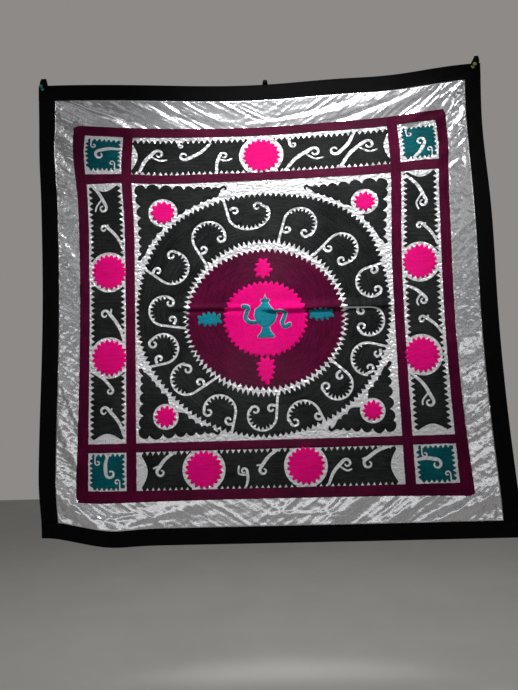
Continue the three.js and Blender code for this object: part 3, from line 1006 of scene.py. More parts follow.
def wavy(start, end, drift, seed):
    """A hand sewn straight line: it drifts outwards towards its ends and is a little uneven."""
    count = max(4, round(math.dist(start, end) / WAVE_STEP))
    spread = np.random.default_rng(seed)
    shares = np.arange(count) / count
    run = np.array(end, float) - start
    side = np.array([run[1], -run[0]]) / np.hypot(*run)
    reach = drift * np.abs(2 * shares - 1) ** 3 + spread.uniform(-WAVE_REACH, WAVE_REACH, count)
    reach[0] = drift
    return [tuple(np.array(start) + run * s + side * r) for s, r in zip(shares, reach)]


def loose_box(left, bottom, right, top, drift, seed):
    corners = [(left, bottom), (right, bottom), (right, top), (left, top)]
    outline = []
    for number, (start, end) in enumerate(zip(corners, corners[1:] + corners[:1])):
        outline += wavy(start, end, drift, seed + number)
    return outline


outer_band = loose_box(BAND_OUTER["left"], BAND_OUTER["bottom"], BAND_OUTER["right"], BAND_OUTER["top"],
                       CORNER_REACH, 20)
openings = []
for column in range(3):
    for row in range(3):
        openings.append(loose_box(BAND_A[2 * column], BAND_B[2 * row],
                                  BAND_A[2 * column + 1], BAND_B[2 * row + 1], 0, 40 + 9 * column + 3 * row))


def in_upright_band(a, b):
    inside = np.zeros(len(a), bool)
    edges = (-OUTSIDE, *BAND_A, OUTSIDE)
    for low, high in zip(edges[::2], edges[1::2]):
        inside |= (a > low) & (a < high)
    return inside


patches = [stitched_patch("burgundy_bands", [outer_band], burgundy_thread, 0.85, openings,
                          upright_where=in_upright_band)]

# %% [markdown]
# ## The black ring and its scrolls
# A broad black ring lies round the middle. Fifteen scrolls of bare satin are cut into it, in turn from
# its outer and from its inner edge. Each scroll is a toothed band round a circle with a curl at each end,
# and the table says where its circle, its root on the ring's edge and its two curls are.

# %% The ring's edge
RING_OUT = {"centre": (-6, -25), "across": 312, "up": 301}
RING_IN = {"centre": (0, -36), "across": 209, "up": 200}

RING_BULGES = [
    # the ring is not a true oval: which way (degrees), how far it stands out and over how wide a turn
    (46, 25, 24),
    (136, 12, 22),
    (222, -7, 22),
]


def ring_edge(angle, extra=0.0):
    """A point of the ring's outer edge."""
    turn = math.radians(angle)
    away = [(angle - towards + 180) % 360 - 180 for towards, _, _ in RING_BULGES]
    extra += sum(reach * math.exp(-((off / wide) ** 2)) for off, (_, reach, wide) in zip(away, RING_BULGES))
    return (RING_OUT["centre"][0] + (RING_OUT["across"] + extra) * math.cos(turn),
            RING_OUT["centre"][1] + (RING_OUT["up"] + extra) * math.sin(turn))


print("the ring's edge at its right is at", ring_edge(0))

# %% [markdown]
# ## A scroll
# One scroll is three strokes: the band, with teeth on its inner side, and a curl at either end. The band
# starts on the ring's edge, runs straight until it touches its circle and then follows the circle to the
# tip.

# %% Scrolls and the black ring
SCROLLS = [
    # circle's middle and radii, root, curl at the root, curl at the tip, and which way it winds
    (-35, 232, 56, 44, -98, 272, -70, 240, -12, 250, 1),
    (95, 200, 44, 44, 40, 157, 62, 187, 107, 176, -1),
    (198, 130, 42, 42, 137, 125, 165, 133, 197, 100, -1),
    (268, 42, 40, 40, 310, 92, 275, 72, 282, 22, 1),
    (258, -55, 40, 40, 205, -17, 240, -30, 240, -70, -1),
    (250, -150, 43, 43, 312, -125, 273, -137, 253, -172, 1),
    (172, -210, 40, 40, 162, -152, 180, -190, 145, -215, -1),
    (88, -288, 43, 43, 140, -305, 122, -285, 65, -298, 1),
    (-15, -282, 38, 38, 25, -222, 8, -265, -32, -268, -1),
    (-120, -268, 43, 43, -92, -322, -98, -290, -148, -268, 1),
    (-200, -185, 42, 42, -135, -190, -168, -195, -198, -162, -1),
    (-258, -108, 40, 40, -310, -155, -268, -133, -283, -95, 1),
    (-255, -12, 40, 40, -203, -57, -235, -35, -240, 8, -1),
    (-233, 98, 45, 45, -302, 97, -270, 90, -233, 130, 1),
    (-137, 172, 45, 45, -145, 103, -152, 143, -107, 170, -1),
]
BAND_HALF = 3.4
TOOTH_REACH = 9
TOOTH_SINK = 2.4
TOOTH_FADE = 14
SCROLL_PITCH = 11.5
ROOT_OVER = 15
TIP_SHORT = 14
TIP_CURL = {"back": 12, "turn": 285, "first": 11.5, "last": 4.6}
ROOT_CURL = {"lead": 13, "ahead": 34, "start": 8, "turn": 270, "first": 10.2, "last": 4.2}
CURL_HALF = (3.6, 1.1)
CURL_POINTS = 24


def scroll_parts(ca, cb, across, up, root_a, root_b, curl_a, curl_b, tip_a, tip_b, winds):
    """The bare satin of one scroll: a toothed band from its root, a curl at its tip and one at its root."""
    centre, root, hub, tip = (ca, cb), (root_a, root_b), (curl_a, curl_b), (tip_a, tip_b)
    inner_across, inner_up = across - BAND_HALF, up - BAND_HALF
    reach = math.dist(root, centre)
    touch = math.degrees(math.acos(min(0.98, min(inner_across, inner_up) / reach)))
    start = bearing(centre, root) + winds * touch
    tip_bearing = bearing(centre, tip)
    sweep = ((tip_bearing - start) * winds) % 360
    if sweep < 120:
        sweep += 360
    sweep -= TIP_SHORT
    body = oval(centre, inner_across, inner_up, 40, start, winds * sweep)
    begin, foot = np.array(body[0]), np.array(root, float)
    foot += (foot - begin) / np.linalg.norm(foot - begin) * ROOT_OVER
    stem = [tuple(foot + (begin - foot) * share) for share in (0, 0.25, 0.5, 0.75)]
    path = evenly(stem + body, False, 150)
    total = line_length(path, False)
    stem_end = (line_length(stem + body[:1], False) + 16) / total
    teeth = max(5, round((1 - stem_end) * total / SCROLL_PITCH))

    def inner(share):
        if share <= stem_end:
            return BAND_HALF - 0.6
        place = (share - stem_end) / (1 - stem_end) * teeth
        fade = min(1, (share - stem_end) * total / TOOTH_FADE, (1 - share) * total / TOOTH_FADE)
        notch = 1 - abs(math.sin(math.pi * place)) ** 0.7
        return BAND_HALF - 0.6 + fade * (TOOTH_REACH * notch - TOOTH_SINK * (1 - notch))

    def outer(share):
        return BAND_HALF

    left, right = (inner, outer) if winds > 0 else (outer, inner)
    band = stroke(path, left, right)
    shape = TIP_CURL
    tip_line = [path[-4], *spiral(tip, tip_bearing - winds * shape["back"], winds * shape["turn"],
                                  shape["first"], shape["last"], CURL_POINTS)]
    shape = ROOT_CURL
    facing = bearing(hub, root)
    ahead = math.radians(facing + winds * shape["ahead"])
    lead = (hub[0] + shape["lead"] * math.cos(ahead), hub[1] + shape["lead"] * math.sin(ahead))
    root_line = [lead, *spiral(hub, facing + winds * shape["start"], -winds * shape["turn"],
                               shape["first"], shape["last"], CURL_POINTS)]

    def taper(share):
        return CURL_HALF[0] - CURL_HALF[1] * share

    return band, stroke(tip_line, taper, taper), stroke(root_line, taper, taper)


scrolls = [part for row in SCROLLS for part in scroll_parts(*row)]
hole_line = oval(RING_IN["centre"], RING_IN["across"], RING_IN["up"], 200)
ring_hole = toothed(hole_line, 13.2, 12, True, 1, seed=4)
ring_outline = toothed([ring_edge(1.5 * k) for k in range(240)], 13.6, 9, True, -1, seed=5)
patches.append(stitched_patch("black_ring", [ring_outline], black_thread, 0.85, [*scrolls, ring_hole],
                              rows=round_rows))

# %% [markdown]
# ## The medallion
# Inside the ring, past a white gap of bare satin, lies a burgundy disc with a pink one on it. A teal
# lamp, a common motif of such cloths, stands in the middle with a thin white outline, and two pink and
# two teal leaves stand round it.

# %% Burgundy disc, pink disc, leaves and lamp
burgundy_disc = toothed(oval((-1, -41), 190, 169, 200), 14, 10, True, -1, lean=0.2, seed=6)
patches.append(stitched_patch("burgundy_disc", [burgundy_disc], burgundy_thread, 0.85, rows=round_rows))
pink_disc = toothed(oval((0, -42), 99, 89, 160), 13.6, 9, True, -1, seed=7)
patches.append(stitched_patch("pink_disc", [pink_disc], pink_thread, 1.05, back=0.2, rows=round_rows))


def leaf(centre, across, up, narrow, seed):
    """A toothed leaf that is narrower at one end, narrow being minus for the lower end."""
    points = []
    for a, b in oval(centre, across, up, 60):
        share = (b - centre[1]) / up
        points.append((centre[0] + (a - centre[0]) * (1 - narrow * share), b))
    return toothed(points, 12.5, 9, True, -1, lean=0.3, seed=seed)


pink_leaves = [leaf((-2, 88), 15, 21, 0.35, 11), leaf((-2, -170), 16, 28, -0.3, 12)]
teal_leaves = [leaf((-140, -38), 26, 11, 0, 13), leaf((140, -33), 27, 11, 0, 14)]
patches.append(stitched_patch("pink_leaves", pink_leaves, pink_thread, 1.05, back=0.2))
patches.append(stitched_patch("teal_leaves", teal_leaves, lamp_thread, 1.05, back=0.2))

LAMP_HALF = [
    # half width and place upwards, from the finial to the foot
    (0, 19), (3, 10), (10, 9), (12, 4), (7, 1), (12, -6),
    (26, -17), (29, -33), (23, -50), (9, -62), (11, -71), (24, -89),
]
LAMP_HANDLE = [(-20, -50), (-38, -49), (-49, -38), (-46, -24), (-42, -12), (-54, -8)]
LAMP_SPOUT = [(22, -22), (38, -19), (50, -26), (47, -40), (42, -52), (49, -63), (60, -57)]
LAMP_A = 1
LAMP_ARM_HALF = 5
LAMP_OUTLINE = 1.7


def lamp_parts(grow):
    """The lamp's outlines, a body with a handle and a spout, larger by grow."""
    (_, finial_b), *sides, (foot_half, foot_b) = LAMP_HALF
    right = [(LAMP_A + half + grow, b) for half, b in sides]
    left = [(2 * LAMP_A - a, b) for a, b in reversed(right)]
    foot = [(LAMP_A + foot_half + grow, foot_b - grow), (LAMP_A - foot_half - grow, foot_b - grow)]
    body = [(LAMP_A, finial_b + 2 * grow), *right, *foot, *left]
    half = LAMP_ARM_HALF + grow
    return body, stroke(curve(LAMP_HANDLE), half, half), stroke(curve(LAMP_SPOUT), half, half)


for part_name, outline, edge in zip(("body", "handle", "spout"), lamp_parts(0), lamp_parts(LAMP_OUTLINE)):
    patches.append(stitched_patch("lamp_outline_" + part_name, [edge], white_thread, 1.2, back=0.26))
    patches.append(stitched_patch("lamp_" + part_name, [outline], lamp_thread, 1.4, back=0.3))

# %% [markdown]
# ## The black corners of the middle field
# Each corner between the ring and the bands holds a scalloped black patch with two tails, open towards
# the ring where a pink rosette stands in a white circle.

# %% Corner patches and rosettes
CORNERS = [
    # which corner, the corner lobe, the ends of the two tails, the rosette and the white circle round it
    ("top_left", -1, 1, 314, 308, 92, 124, 254, 243, 28, 37),
    ("top_right", 1, 1, 306, 300, 110, 142, 258, 250, 23, 33),
    ("bottom_left", -1, -1, 314, 321, 122, 160, 254, 277, 24, 32),
    ("bottom_right", 1, -1, 301, 321, 148, 162, 255, 277, 22, 31),
]
GAP_TO_RING = 13
PETAL = 8


def rosette(place, radius, petals, count, seed):
    """A round rosette with that many petals."""
    pitch = 2 * math.pi * radius / petals
    return toothed(oval(place, radius, radius, count), pitch, PETAL, True, -1, seed=seed)


def scallops(line, first, last, bulge):
    """Round scallops on the right of a line of points, their size going from first to last."""
    length = line_length(line, False)
    count = max(2, round(2 * length / (first + last)))
    sizes = np.linspace(first, last, count)
    stops = np.concatenate([[0], np.cumsum(sizes)]) / sizes.sum()
    fine = evenly(line, False, 7 * count + 1)
    shares = np.interp(np.arange(7 * count + 1) / 7, np.arange(count + 1), stops)
    where = shares * (len(fine) - 1)
    fine = np.stack([np.interp(where, np.arange(len(fine)), fine[:, axis]) for axis in (0, 1)], axis=-1)
    run = np.gradient(fine, axis=0)
    run /= np.hypot(run[:, 0], run[:, 1])[:, None]
    points = []
    for index, (point, forward) in enumerate(zip(fine[:-1], run[:-1])):
        rise = bulge * sizes[index // 7] * math.sin(math.pi * (index % 7) / 7) ** 0.7
        points.append((point[0] + forward[1] * rise, point[1] - forward[0] * rise))
    return points


def corner_patch(side_a, side_b, edge_a, edge_b, tail_a, tail_b, rose_a, rose_b, ring_radius):
    """One corner patch, drawn as if top right and mirrored where it belongs."""
    rose = (rose_a, rose_b)
    middle = (RING_OUT["centre"][0] * side_a, RING_OUT["centre"][1] * side_b)
    across, up = RING_OUT["across"] + 9 + GAP_TO_RING, RING_OUT["up"] + 9 + GAP_TO_RING
    towards = bearing(rose, middle)
    rose_turn = math.degrees(math.atan2((rose_b - middle[1]) / up, (rose_a - middle[0]) / across))
    tail_turn = math.degrees(math.acos((tail_a + 18 - middle[0]) / across))
    side_turn = math.degrees(math.asin((tail_b + 18 - middle[1]) / up))

    def ring_side(start, turn):
        """The side that follows the ring, kept clear of the two straight sides."""
        points = []
        for k in range(21):
            t = math.radians(start + turn * k / 20)
            angle = math.degrees(math.atan2(side_b * math.sin(t), side_a * math.cos(t)))
            a, b = ring_edge(angle, TOOTH_REACH + GAP_TO_RING)
            points.append((min(a * side_a, edge_a - 16), min(b * side_b, edge_b - 16)))
        return points

    outline = []
    outline += scallops([(edge_a - 4, tail_b + 14), (edge_a - 4, edge_b - 14)], 20, 34, 0.36)
    outline += oval((edge_a - 8, edge_b - 8), 17, 17, 8, -20, 130)
    outline += scallops([(edge_a - 18, edge_b), (tail_a + 18, edge_b - 6)], 34, 18, 0.36)
    outline += curve([(tail_a + 14, edge_b - 1), (tail_a + 4, edge_b + 4), (tail_a - 3, edge_b - 3),
                      (tail_a, edge_b - 10), (tail_a + 3, edge_b - 9), (tail_a + 4, edge_b - 3),
                      (tail_a + 11, edge_b - 7)], 3)
    outline += scallops(ring_side(tail_turn, rose_turn + 4 - tail_turn), 13, 25, 0.26)
    outline += oval(rose, ring_radius, ring_radius, 28, towards - 26, -308)
    outline += scallops(ring_side(rose_turn - 4, side_turn - rose_turn + 4), 25, 13, 0.26)
    outline += curve([(edge_a - 12, tail_b + 8), (edge_a - 6, tail_b + 5), (edge_a - 1, tail_b - 4),
                      (edge_a + 7, tail_b - 2), (edge_a + 4, tail_b + 7)], 3)
    return [(a * side_a, b * side_b) for a, b in outline]


corner_outlines, rosettes = [], []
for _, side_a, side_b, *shape, radius, white in CORNERS:
    corner_outlines.append(corner_patch(side_a, side_b, *shape, white))
    rose = (shape[-2] * side_a, shape[-1] * side_b)
    rosettes.append(rosette(rose, radius - 4, 11, 60, 30 + len(rosettes)))
patches.append(stitched_patch("black_corners", corner_outlines, black_thread, 0.85))

# %% [markdown]
# ## The four long panels
# The panels are black, toothed on both long sides and hollowed at their ends. Bare satin shows in the
# circles round the pink rosettes and in the hooks that reach in from the sides, each a tapering stroke
# with a curl and a small prong.

# %% Panels and hooks
PANELS = {
    # left, bottom, right, top, and how the long sides run
    "top": (-330, 354, 325, 434, "level"),
    "bottom": (-316, -448, 306, -371, "level"),
    "left": (-436, -330, -367, 316, "upright"),
    "right": (362, -328, 431, 319, "upright"),
}
PANEL_ROSETTES = [
    # middle, radius of the rosette and of the white circle
    (1, 393, 46, 57),
    (-162, -408, 44, 53),
    (87, -405, 44, 53),
    (-397, 92, 44, 52),
    (-397, -127, 44, 52),
    (392, 88, 42, 51),
    (385, -145, 42, 51),
]
HOOKS = [
    # root on the side, middle of the curl, how it winds, curl radius, and the prong's tip
    (-310, 350, -264, 404, -1, 12, -244, 388),
    (-128, 436, -198, 399, -1, 12, 0, 0),
    (-208, 442, -206, 428, 1, 6, 0, 0),
    (-114, 346, -96, 396, -1, 10, -76, 387),
    (76, 440, 84, 420, 1, 8, 0, 0),
    (60, 344, 138, 394, -1, 13, 159, 378),
    (238, 438, 190, 396, -1, 13, 0, 0),
    (202, 346, 274, 404, -1, 13, 293, 388),
    (-228, -361, -268, -412, 1, 11, -286, -402),
    (-60, -452, -64, -414, 1, 8, -76, -402),
    (25, -361, -16, -414, 1, 10, -31, -401),
    (140, -452, 186, -402, -1, 11, 196, -416),
    (300, -361, 238, -404, 1, 12, 225, -392),
    (-452, 330, -410, 260, -1, 11, -430, 253),
    (-358, 150, -409, 206, 1, 9, -399, 216),
    (-356, -95, -409, -17, 1, 11, -392, -4),
    (-446, -160, -396, -210, -1, 9, 0, 0),
    (-356, -330, -410, -260, 1, 11, -391, -254),
    (356, 312, 402, 241, -1, 11, 391, 224),
    (440, 130, 393, 180, 1, 9, 408, 186),
    (352, 30, 396, -10, -1, 10, 383, -21),
    (440, -95, 391, -58, 1, 9, 406, -49),
    (350, -185, 394, -261, -1, 11, 377, -266),
]


PANEL_TEETH = {"pitch": 14.2, "height": 10}
PANEL_HOLLOW = 15
HOOK_WIND = 300
HOOK_INNER = 0.42
HOOK_BEND = 0.08
HOOK_TIP_HALF = 2
PRONG_HALF = 2.3
PRONG_OUT = 5.5


def hook_parts(root_a, root_b, curl_a, curl_b, winds, radius, prong_a, prong_b):
    """The bare satin of one hook: a stroke that curls in at its end, and its prong, if it has one."""
    root, centre = (root_a, root_b), (curl_a, curl_b)
    winding = curl(root, centre, winds, radius, radius * HOOK_INNER, HOOK_WIND, CURL_POINTS)
    begin = winding[0]
    run_a, run_b = begin[0] - root[0], begin[1] - root[1]
    aside = HOOK_BEND * winds
    bend = (root[0] + run_a * 0.5 + run_b * aside, root[1] + run_b * 0.5 - run_a * aside)
    stem = curve([root, bend, begin], 6)[:-1]
    line = stem + winding
    turn_in = line_length(stem + [begin], False) / line_length(line, False)
    half = 1.6 + radius * 0.22

    def width(share):
        if share < turn_in:
            return half - 0.9 + 1.3 * math.sin(math.pi * 0.62 * share / turn_in)
        return half - (half - HOOK_TIP_HALF) * (share - turn_in) / (1 - turn_in)

    prong = []
    if prong_a or prong_b:
        tip = (prong_a, prong_b)
        between = sum((np.array(end) - centre) / math.dist(end, centre) for end in (root, tip))
        middle = centre + between / np.linalg.norm(between) * (radius + PRONG_OUT)
        prong = [stroke(curve([stem[-3], tuple(middle), tip], 6), PRONG_HALF, PRONG_HALF)]
    return [stroke(line, width, width)], prong


def hollow_end(start, end):
    """The points of a panel's end, which is hollowed to the left of its line."""
    run_a, run_b = end[0] - start[0], end[1] - start[1]
    long = math.hypot(run_a, run_b)
    points = []
    for k in range(1, 10):
        depth = PANEL_HOLLOW * math.sin(math.pi * k / 10)
        points.append((start[0] + run_a * k / 10 - run_b / long * depth,
                       start[1] + run_b * k / 10 + run_a / long * depth))
    return points


def panel_outline(left, bottom, right, top, run, seed):
    """A panel with teeth along both long sides and hollow ends."""
    corners = [(left, bottom), (right, bottom), (right, top), (left, top)]
    if run == "upright":
        corners = corners[1:] + corners[:1]
    one = toothed(corners[:2], **PANEL_TEETH, side=-1, seed=seed)
    other = toothed(corners[2:], **PANEL_TEETH, side=-1, seed=seed + 1)
    return one + hollow_end(corners[1], corners[2]) + other + hollow_end(corners[3], corners[0])


panel_outlines = [panel_outline(*panel, 60 + 2 * number) for number, panel in enumerate(PANELS.values())]
circles, hooks, prongs = [], [], []
for number, (a, b, radius, white) in enumerate(PANEL_ROSETTES):
    circles.append(oval((a, b), white, white, 64))
    rosettes.append(rosette((a, b), radius - 5, 20, 90, 80 + number))
for row in HOOKS:
    hook, prong = hook_parts(*row)
    hooks += hook
    prongs += prong
patches.append(stitched_patch("black_panels", panel_outlines, black_thread, 0.85, circles + hooks + prongs))
patches.append(stitched_patch("pink_rosettes", rosettes, pink_thread, 0.95))

# %% [markdown]
# ## The four teal squares
# Each corner square holds a toothed teal field with one curl of bare satin in its middle and two small
# ones that come in through its edges.

# %% Teal squares
SQUARES = [
    # middle, then the curl's root and middle and how it winds
    (-402, 398, -360, 415, -410, 396, 1),
    (397, 394, 378, 353, 398, 393, 1),
    (-402, -409, -400, -366, -394, -412, 1),
    (397, -409, 354, -398, 398, -410, -1),
]
SQUARE_HALF = 37
SQUARE_HOOK = 12
EDGE_CURL = {"middle": 24, "radius": 7, "end": 2.6, "half": 1.7, "turn": -290}


def edge_curl(a, b, side_a, side_b):
    """A small curl of bare satin that comes in through a square's edge beside one of its corners."""
    middle = EDGE_CURL["middle"]
    line = [(middle + EDGE_CURL["radius"], SQUARE_HALF + 9), (middle + EDGE_CURL["radius"], middle + 4)]
    line += spiral((middle, middle), 0, EDGE_CURL["turn"], EDGE_CURL["radius"], EDGE_CURL["end"], 16)
    placed = [(a + side_a * along, b + side_b * up) for along, up in line]
    return stroke(placed, EDGE_CURL["half"], EDGE_CURL["half"])


square_outlines, square_cutters = [], []
for number, (a, b, *hook) in enumerate(SQUARES):
    sides = ((-1, -1), (1, -1), (1, 1), (-1, 1))
    box = [(a + side_a * SQUARE_HALF, b + side_b * SQUARE_HALF) for side_a, side_b in sides]
    square_outlines.append(toothed(box, 12, 7.5, True, -1, seed=100 + number))
    square_cutters += hook_parts(*hook, SQUARE_HOOK, 0, 0)[0]
    square_cutters += [edge_curl(a, b, -1, 1), edge_curl(a, b, 1, -1)]
patches.append(stitched_patch("teal_squares", square_outlines, teal_thread, 0.85, square_cutters))

# %% [markdown]
# ## What was cut
# Each piece of cloth is listed with the size that it was cut to, and with the stitching that hangs with
# it.

CUT = [
    # piece, its flat size in metres and what is sewn to it
    (satin_ground, (1.07, 1.106), patches),
    (border_top, (1.154, 0.043), [stitches_top]),
    (border_bottom, (1.154, 0.04), [stitches_bottom]),
    (border_left, (0.043, 1.106), [stitches_left]),
    (border_right, (0.041, 1.106), [stitches_right]),
]
for piece, flat_size, sewn_on in CUT:
    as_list(sewn_on)
print(len(CUT), "sheets declared, with", len(patches), "patches of stitching")

# %% [markdown]
# ## The tape loops
# Three short lengths of black tape are folded over and sewn behind the top strip. A grid is wrapped round
# the eye of each loop like the real tape and then given its thickness.

# %% Tape loops
TAPE_THICK = 1.0
LOOP_HALF_DEPTH = 4.0
LOOP_LEG = 8
LOOP_CLEAR = 0.32
LOOP_RISE = 0.4
LOOPS = [
    # node, place along the top edge, width, width at the tip, height, lean
    ("loop_left", -563, 20, 12, 19, 0.04),
    ("loop_centre", 18, 14, 9, 12.5, 0.0),
    ("loop_right", 565, 20, 9, 19.5, 0.2),
]


def at_top_edge(a):
    point = hung(np.array([float(a)]), np.array([float(CLOTH["top"])]), np.array([0.0]))[0]
    return point / MM


def tape_path(high):
    """The line of the tape in depth and height: up one leg, round the eye and down the other leg."""
    front = -TOP_STANDOFF + LOOP_CLEAR + TAPE_THICK / 2
    back = front + TAPE_THICK
    eye_depth = LOOP_HALF_DEPTH - TAPE_THICK / 2
    eye_high = (high - LOOP_RISE) / 2 - TAPE_THICK / 2
    hub = (back - LOOP_HALF_DEPTH + 1.1, LOOP_RISE + (high - LOOP_RISE) / 2)
    start = math.degrees(math.asin((front - hub[0]) / eye_depth))
    end = math.degrees(math.asin((back - hub[0]) / eye_depth))
    turns = np.radians(np.linspace(start - 4, end - 360 + 4, 36))
    round_eye = [(hub[0] + eye_depth * math.sin(t), hub[1] - eye_high * math.cos(t)) for t in turns]
    legs_up = [(front, -LOOP_LEG), (front, -LOOP_LEG / 2), (front, 0)]
    legs_down = [(back, 0), (back, -LOOP_LEG / 2), (back, -LOOP_LEG)]
    return evenly(legs_up + round_eye + legs_down, False, 61)


for node, place, wide, tip, high, lean in LOOPS:
    bm = grid_sheet(list(np.linspace(-0.5, 0.5, 9)), list(range(61)))
    path = tape_path(high)
    edge = at_top_edge(place)
    left, right = at_top_edge(place - wide / 2), at_top_edge(place + wide / 2)
    slope = (right[2] - left[2]) / (right[0] - left[0])
    flat_layer = bm.loops.layers.uv.new("flat")
    for face in bm.faces:
        for corner in face.loops:
            corner[flat_layer].uv = (corner.vert.co.x * wide * MM, corner.vert.co.y * MM)
    for vertex in bm.verts:
        depth, z = path[round(vertex.co.y)]
        narrow = 1 + (tip / wide - 1) * float(smooth(z / high))
        x = vertex.co.x * wide * narrow + max(0, z) * lean
        vertex.co = Vector((edge[0] + x, depth, edge[2] + z + slope * x)) * MM
    mesh = bpy.data.meshes.new("tape_" + node)
    bm.to_mesh(mesh)
    bm.free()
    mesh.materials.append(black_tape)
    mesh.polygons.foreach_set("use_smooth", [True] * len(mesh.polygons))
    tape = bpy.data.objects.new("tape_" + node, mesh)
    bpy.context.scene.collection.objects.link(tape)
    solidify = tape.modifiers.new("thickness", "SOLIDIFY")
    solidify.thickness = TAPE_THICK * MM
    solidify.offset = 0
    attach(tape, "root")
    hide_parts(node)
    length = line_length(path, False) * MM
    print(tape.name, "is", round(length, 4), "m of tape")

# %% [markdown]
# ## The push pins
# A push pin is a moulded head with a waist on a steel needle. The head is turned: its profile is spun
# round the needle's line, and its edges are softened with a bevel.

# %% Pins and needles
PIN_PROFILE = [
    # height along the pin and radius
    (0.0, 4.0), (0.5, 4.7), (1.5, 4.7), (2.1, 3.8), (3.2, 2.7), (6.2, 2.4),
    (8.4, 3.1), (9.6, 4.3), (10.2, 4.7), (11.8, 4.7), (12.5, 4.2), (12.9, 2.6),
]
PIN_LENGTH = 13
NEEDLE_RADIUS = 0.55
NEEDLE_IN_HEAD = 7
FIT_GAP = 0.3
PIN_RADIUS = 4.7
PIN_ROUND = 0.4
PIN_BEVEL = 0.15
SHARP_ANGLE = math.radians(35)
PINS = [
    # side, place, lean to the right and upwards, body colour and lit colour
    ("left", -564, 591, -0.03, 0.27, rgb(8, 105, 106), rgb(20, 150, 148)),
    ("right", 557, 591, 0.16, 0.2, rgb(126, 138, 52), rgb(168, 178, 92)),
]


def plastic_finish(name, body, lit):
    plastic = Finish(name, Coat_Roughness=0.12, Subsurface_Weight=0.08, Subsurface_Scale=0.002)
    place = plastic.object_place()
    flow_and_sheen = plastic.noise(place, 240, 3)
    scuffs = plastic.noise(place, 1300, 2)
    # painted sheen: the lighter lit colour lies where this noise is high, and the same noise also sets the
    # coat and the bump
    plastic.wire(Base_Color=plastic.mix(flow_and_sheen, body, lit), Roughness=0.2 + scuffs * 0.2,
                 Coat_Weight=0.3 + flow_and_sheen * 0.3)
    plastic.bump(scuffs * 0.4 + flow_and_sheen * 0.6, 0.12, 0.0003)
    return plastic.material


def steel_finish():
    steel = Finish("needle_steel", Metallic=1.0)
    drawn = steel.noise(steel.moved(steel.object_place(), stretch=(1, 0.06, 1)), 4000, 2)
    tone = steel.mix(drawn, rgb(150, 152, 156), rgb(214, 216, 220))
    steel.wire(Base_Color=tone, Roughness=0.18 + drawn * 0.2)
    steel.bump(drawn, 0.1, 0.0001)
    return steel.material


needle_steel = steel_finish()
for side, place_a, place_b, right, up, body, lit in PINS:
    bm = bmesh.new()
    bore = NEEDLE_RADIUS + FIT_GAP
    profile = [(0.0, NEEDLE_IN_HEAD + FIT_GAP), (bore, NEEDLE_IN_HEAD + FIT_GAP), (bore, 0.0)]
    profile += [(radius, along) for along, radius in PIN_PROFILE] + [(0.0, PIN_LENGTH)]
    ring = [bm.verts.new((radius, 0, along)) for radius, along in profile]
    edges = [bm.edges.new(pair) for pair in zip(ring, ring[1:])]
    bmesh.ops.spin(bm, geom=ring + edges, cent=(0, 0, 0), axis=(0, 0, 1), dvec=(0, 0, 0),
                   angle=2 * math.pi, steps=48, use_merge=True, use_duplicate=False)
    bmesh.ops.remove_doubles(bm, verts=bm.verts, dist=0.001)
    bmesh.ops.recalc_face_normals(bm, faces=bm.faces)
    sharp = [e for e in bm.edges if len(e.link_faces) == 2 and e.calc_face_angle() > SHARP_ANGLE]
    bmesh.ops.bevel(bm, geom=sharp, offset=PIN_BEVEL, offset_type="OFFSET", affect="EDGES", segments=2,
                    profile=0.5, material=-1)
    direction = Vector((right, -1, up)).normalized()
    tilt = math.hypot(right, up) / math.sqrt(right**2 + 1 + up**2)
    clear = FIT_GAP + tilt * (PIN_RADIUS - PIN_ROUND)
    spot = (np.array([float(place_a)]), np.array([float(place_b)]))
    face = Vector(hung(*spot, np.array([BORDER_HALF]))[0])
    back = face + direction * clear * MM / abs(direction.y)
    turn = Vector((0, 0, 1)).rotation_difference(direction).to_matrix().to_4x4()
    bmesh.ops.transform(bm, verts=bm.verts, matrix=Matrix.Translation(back) @ turn @ Matrix.Scale(MM, 4))
    mesh = bpy.data.meshes.new("pin_head_" + side)
    bm.to_mesh(mesh)
    bm.free()
    mesh.materials.append(plastic_finish("pin_plastic_" + side, body, lit))
    mesh.polygons.foreach_set("use_smooth", [True] * len(mesh.polygons))
    head = bpy.data.objects.new("pin_head_" + side, mesh)
    bpy.context.scene.collection.objects.link(head)
    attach(head, "root")
    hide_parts("pin_" + side)
    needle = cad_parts["needle_" + side]
    needle.data.materials.clear()
    needle.data.materials.append(needle_steel)
    print(head.name, "stands at", [round(value, 4) for value in back])

# %% [markdown]
# ## The studio
# The cloth hangs free over a pale floor in a soft grey room, which is pale behind the cloth and darker in
# front of it, so that the satin has something dark to mirror.

# %% Floor and room
FLOOR_Z = -2.2
FLOOR_HALF = 6
ROOM_STEP = (-0.15, 0.35)
bm = bmesh.new()
bmesh.ops.create_grid(bm, x_segments=1, y_segments=1, size=FLOOR_HALF)
bmesh.ops.translate(bm, verts=bm.verts, vec=(0, 0, FLOOR_Z))
floor_mesh = bpy.data.meshes.new("studio_floor")
bm.to_mesh(floor_mesh)
bm.free()
floor = bpy.data.objects.new("studio_floor", floor_mesh)
bpy.context.scene.collection.objects.link(floor)
pale = Finish("pale_floor", Roughness=0.8)
clouds = pale.noise(pale.object_place(), 3, 2)
pale.wire(Base_Color=pale.mix(clouds, rgb(206, 204, 200), rgb(222, 220, 216)))
floor_mesh.materials.append(pale.material)


class Surroundings(Finish):
    """The world's node tree, with a finish's methods."""

    def __init__(self, world):
        world.use_nodes = True
        self.tree = world.node_tree
        self.shader = self.tree.nodes["Background"]


room = bpy.data.worlds.new("soft_room")
sky = Surroundings(room)
_, towards_back = sky.split(sky.add("ShaderNodeTexCoord"))
sky.wire(Color=sky.mix(sky.span(towards_back, *ROOM_STEP), rgb(62, 62, 64), rgb(141, 138, 136)))
bpy.context.scene.world = room
bpy.context.scene.view_settings.view_transform = "Standard"
print("floor at", FLOOR_Z, "and room", room.name)

